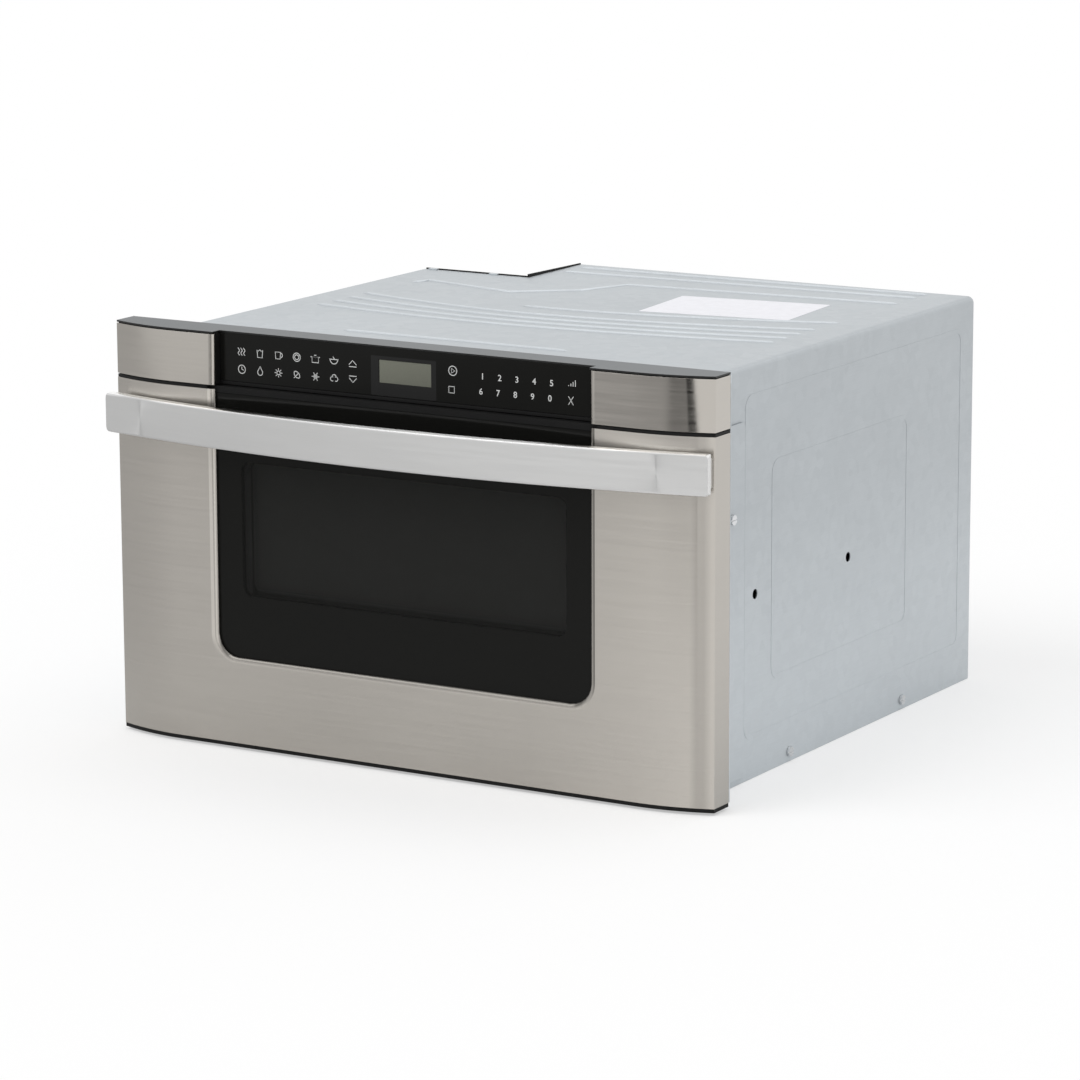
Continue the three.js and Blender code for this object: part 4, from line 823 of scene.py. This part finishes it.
def key_row(icons, height):
    """Each pictogram of a row with its place."""
    return [(icon, KEY_START + k * KEY_PITCH, height) for k, icon in enumerate(icons)]


def print_keys(name, keys):
    """One piece of print from pictograms and their places."""
    bm = bmesh.new()
    for icon, x, z in keys:
        for line in icon():
            ribbon(bm, [(ICON_SCALE * u, ICON_SCALE * v) for u, v in line], LINE_WIDTH, (x, z))
    piece(name, bm, print_white, "root")


print_keys("key_marks_upper", key_row(upper_icons, UPPER_ROW))
print_keys("key_marks_lower", key_row(lower_icons, LOWER_ROW))
print_keys("key_marks_right", right_keys)


def print_digit(bm, digit, x, z):
    """One digit of the built-in font, centred on a place of the glass."""
    curve = bpy.data.curves.new(f"digit_{digit}", "FONT")
    curve.body = digit
    curve.align_x = "CENTER"
    curve.align_y = "CENTER"
    curve.offset = DIGIT_WEIGHT
    carrier = bpy.data.objects.new(f"digit_{digit}", curve)
    bpy.context.scene.collection.objects.link(carrier)
    bpy.context.view_layer.update()
    evaluated = carrier.evaluated_get(bpy.context.evaluated_depsgraph_get())
    mesh = bpy.data.meshes.new_from_object(evaluated)
    heights = [v.co.y for v in mesh.vertices]
    scale = DIGIT_HEIGHT * MM / (max(heights) - min(heights))
    upright = Matrix.Rotation(math.pi / 2, 4, "X")
    mesh.transform(Matrix.Translation(on_glass(x, z)) @ upright @ Matrix.Scale(scale, 4))
    bm.from_mesh(mesh)
    bpy.data.objects.remove(carrier)
    bpy.data.curves.remove(curve)
    bpy.data.meshes.remove(mesh)


digits = bmesh.new()
for row, (start, height) in (("12345", UPPER_DIGITS), ("67890", LOWER_DIGITS)):
    for k, digit in enumerate(row):
        print_digit(digits, digit, start + k * DIGIT_PITCH, height)
piece("key_digits", digits, print_white, "root")


def rounded_square(radius, steps):
    """Outline from -1 to 1 both ways, with round corners."""
    flat = 1.0 - radius
    points = []
    for cx, cy, start in ((1, -1, -90), (1, 1, 0), (-1, 1, 90), (-1, -1, 180)):
        points += arc(cx * flat, cy * flat, radius, start, start + 90, steps)
    return points


def make_label():
    """Blank paper label, stuck a little askew on the top."""
    corners = [Vector(c) for c in LABEL_CORNERS]
    bm = bmesh.new()
    ring = rounded_square(LABEL_ROUNDING, 4)
    lower = []
    upper = []
    for u, v in ring:
        front = corners[0].lerp(corners[3], (u + 1) / 2)
        back = corners[1].lerp(corners[2], (u + 1) / 2)
        spot = front.lerp(back, (v + 1) / 2)
        for rows, height in ((lower, 0.0), (upper, LABEL_THICK)):
            rows.append(bm.verts.new((spot.x * MM, CABINET_FACE + spot.y * MM, ROOF + height * MM)))
    count = len(ring)
    for k in range(count):
        j = (k + 1) % count
        bm.faces.new((lower[k], lower[j], upper[j], upper[k]))
    bm.faces.new(upper)
    bm.faces.new(list(reversed(lower)))
    piece("top_label", bm, paper(), "root")


make_label()


# ---------------------------------------------------------------- stage, light and camera

def make_floor():
    """Pale floor that keeps the shadow and runs out into the white background."""
    bm = bmesh.new()
    bmesh.ops.create_grid(bm, x_segments=2, y_segments=2, size=FLOOR_HALF)
    mesh = bpy.data.meshes.new("floor")
    bm.to_mesh(mesh)
    bm.free()
    floor = bpy.data.objects.new("floor", mesh)
    bpy.context.scene.collection.objects.link(floor)
    finish = Finish("floor_white", FLOOR_GREY, 0.9)
    path = finish.node("ShaderNodeLightPath")
    x, _, _ = finish.axes()
    mirrored = finish.mix(1.0, WHITE, finish.span(x, *FLOOR_MIRRORED), "MULTIPLY")
    others = finish.mix(path.outputs["Is Glossy Ray"], FLOOR_GREY, mirrored)
    seen = path.outputs["Is Camera Ray"]
    finish.feed("Base Color", finish.mix(seen, others, FLOOR_SEEN))
    finish.set("Emission Color", (*WHITE, 1.0))
    finish.feed("Emission Strength", finish.math("MULTIPLY", seen, 1.0 - FLOOR_SEEN[0]))
    finish.set("Specular IOR Level", 0.0)
    mesh.materials.append(finish.material)


def make_world():
    """White to the camera, a soft studio to everything else."""
    world = bpy.data.worlds.new("studio")
    bpy.context.scene.world = world
    world.use_nodes = True
    tree = world.node_tree
    background = tree.nodes["Background"]
    background.inputs["Color"].default_value = (*WHITE, 1.0)
    path = tree.nodes.new("ShaderNodeLightPath")
    seen = tree.nodes.new("ShaderNodeMath")
    seen.operation = "MAXIMUM"
    tree.links.new(path.outputs["Is Camera Ray"], seen.inputs[0])
    tree.links.new(path.outputs["Is Glossy Ray"], seen.inputs[1])
    level = tree.nodes.new("ShaderNodeMapRange")
    level.inputs["To Min"].default_value = WORLD_LEVEL
    level.inputs["To Max"].default_value = 1.0
    tree.links.new(seen.outputs[0], level.inputs["Value"])
    tree.links.new(level.outputs[0], background.inputs["Strength"])


def soft_sun(name, place, strength, spread):
    """Light without falloff from the side of place, spread that many degrees wide."""
    data = bpy.data.lights.new(name, "SUN")
    data.energy = strength
    data.angle = math.radians(spread)
    lamp = bpy.data.objects.new(name, data)
    bpy.context.scene.collection.objects.link(lamp)
    lamp.location = place
    lamp.rotation_euler = (-Vector(place)).to_track_quat("-Z", "Y").to_euler()


def dark_card():
    """Grey card on the floor, black at its right end, seen only in the reflections of the front."""
    bm = bmesh.new()
    left, right = CARD_X
    near, far = CARD_Y
    outline = ((left, near), (right, near), (right, far), (left, far))
    bm.faces.new([bm.verts.new((x, y, CARD_HEIGHT)) for x, y in outline])
    mesh = bpy.data.meshes.new("dark_card")
    bm.to_mesh(mesh)
    bm.free()
    card = bpy.data.objects.new("dark_card", mesh)
    bpy.context.scene.collection.objects.link(card)
    finish = Finish("card_grey", CARD_TONE, 1.0)
    x, _, _ = finish.axes()
    finish.shade(*[finish.span(x, 1.0, change, edge - soft, edge + soft)
                   for edge, soft, change in CARD_STEPS])
    finish.set("Specular IOR Level", 0.0)
    mesh.materials.append(finish.material)
    card.visible_camera = False
    card.visible_diffuse = False
    card.visible_shadow = False


def make_camera():
    """The photograph's camera, from its solved place, turn and focal length."""
    level = math.cos(CAMERA_PITCH)
    back = Vector((math.sin(CAMERA_YAW) * level, -math.cos(CAMERA_YAW) * level, math.sin(CAMERA_PITCH)))
    right = Vector((math.cos(CAMERA_YAW), math.sin(CAMERA_YAW), 0.0))
    up = back.cross(right)
    rolled_right = math.cos(CAMERA_ROLL) * right + math.sin(CAMERA_ROLL) * up
    rolled_up = -math.sin(CAMERA_ROLL) * right + math.cos(CAMERA_ROLL) * up
    data = bpy.data.cameras.new("photo_camera")
    data.sensor_fit = "HORIZONTAL"
    data.sensor_width = SENSOR
    data.lens = CAMERA_FOCUS / IMAGE_SIDE * SENSOR
    data.clip_end = FAR_CLIP
    camera = bpy.data.objects.new("photo_camera", data)
    bpy.context.scene.collection.objects.link(camera)
    turn = Matrix((rolled_right, rolled_up, back)).transposed().to_4x4()
    camera.matrix_world = Matrix.Translation(CAMERA_PLACE) @ turn
    bpy.context.scene.camera = camera


make_floor()
make_world()
soft_sun("key_light", place=(-1.0, -1.4, 2.0), strength=0.8, spread=40)
soft_sun("top_light", place=(0.3, 0.4, 2.6), strength=0.6, spread=60)
dark_card()
make_camera()
bpy.context.scene.view_settings.view_transform = "Standard"
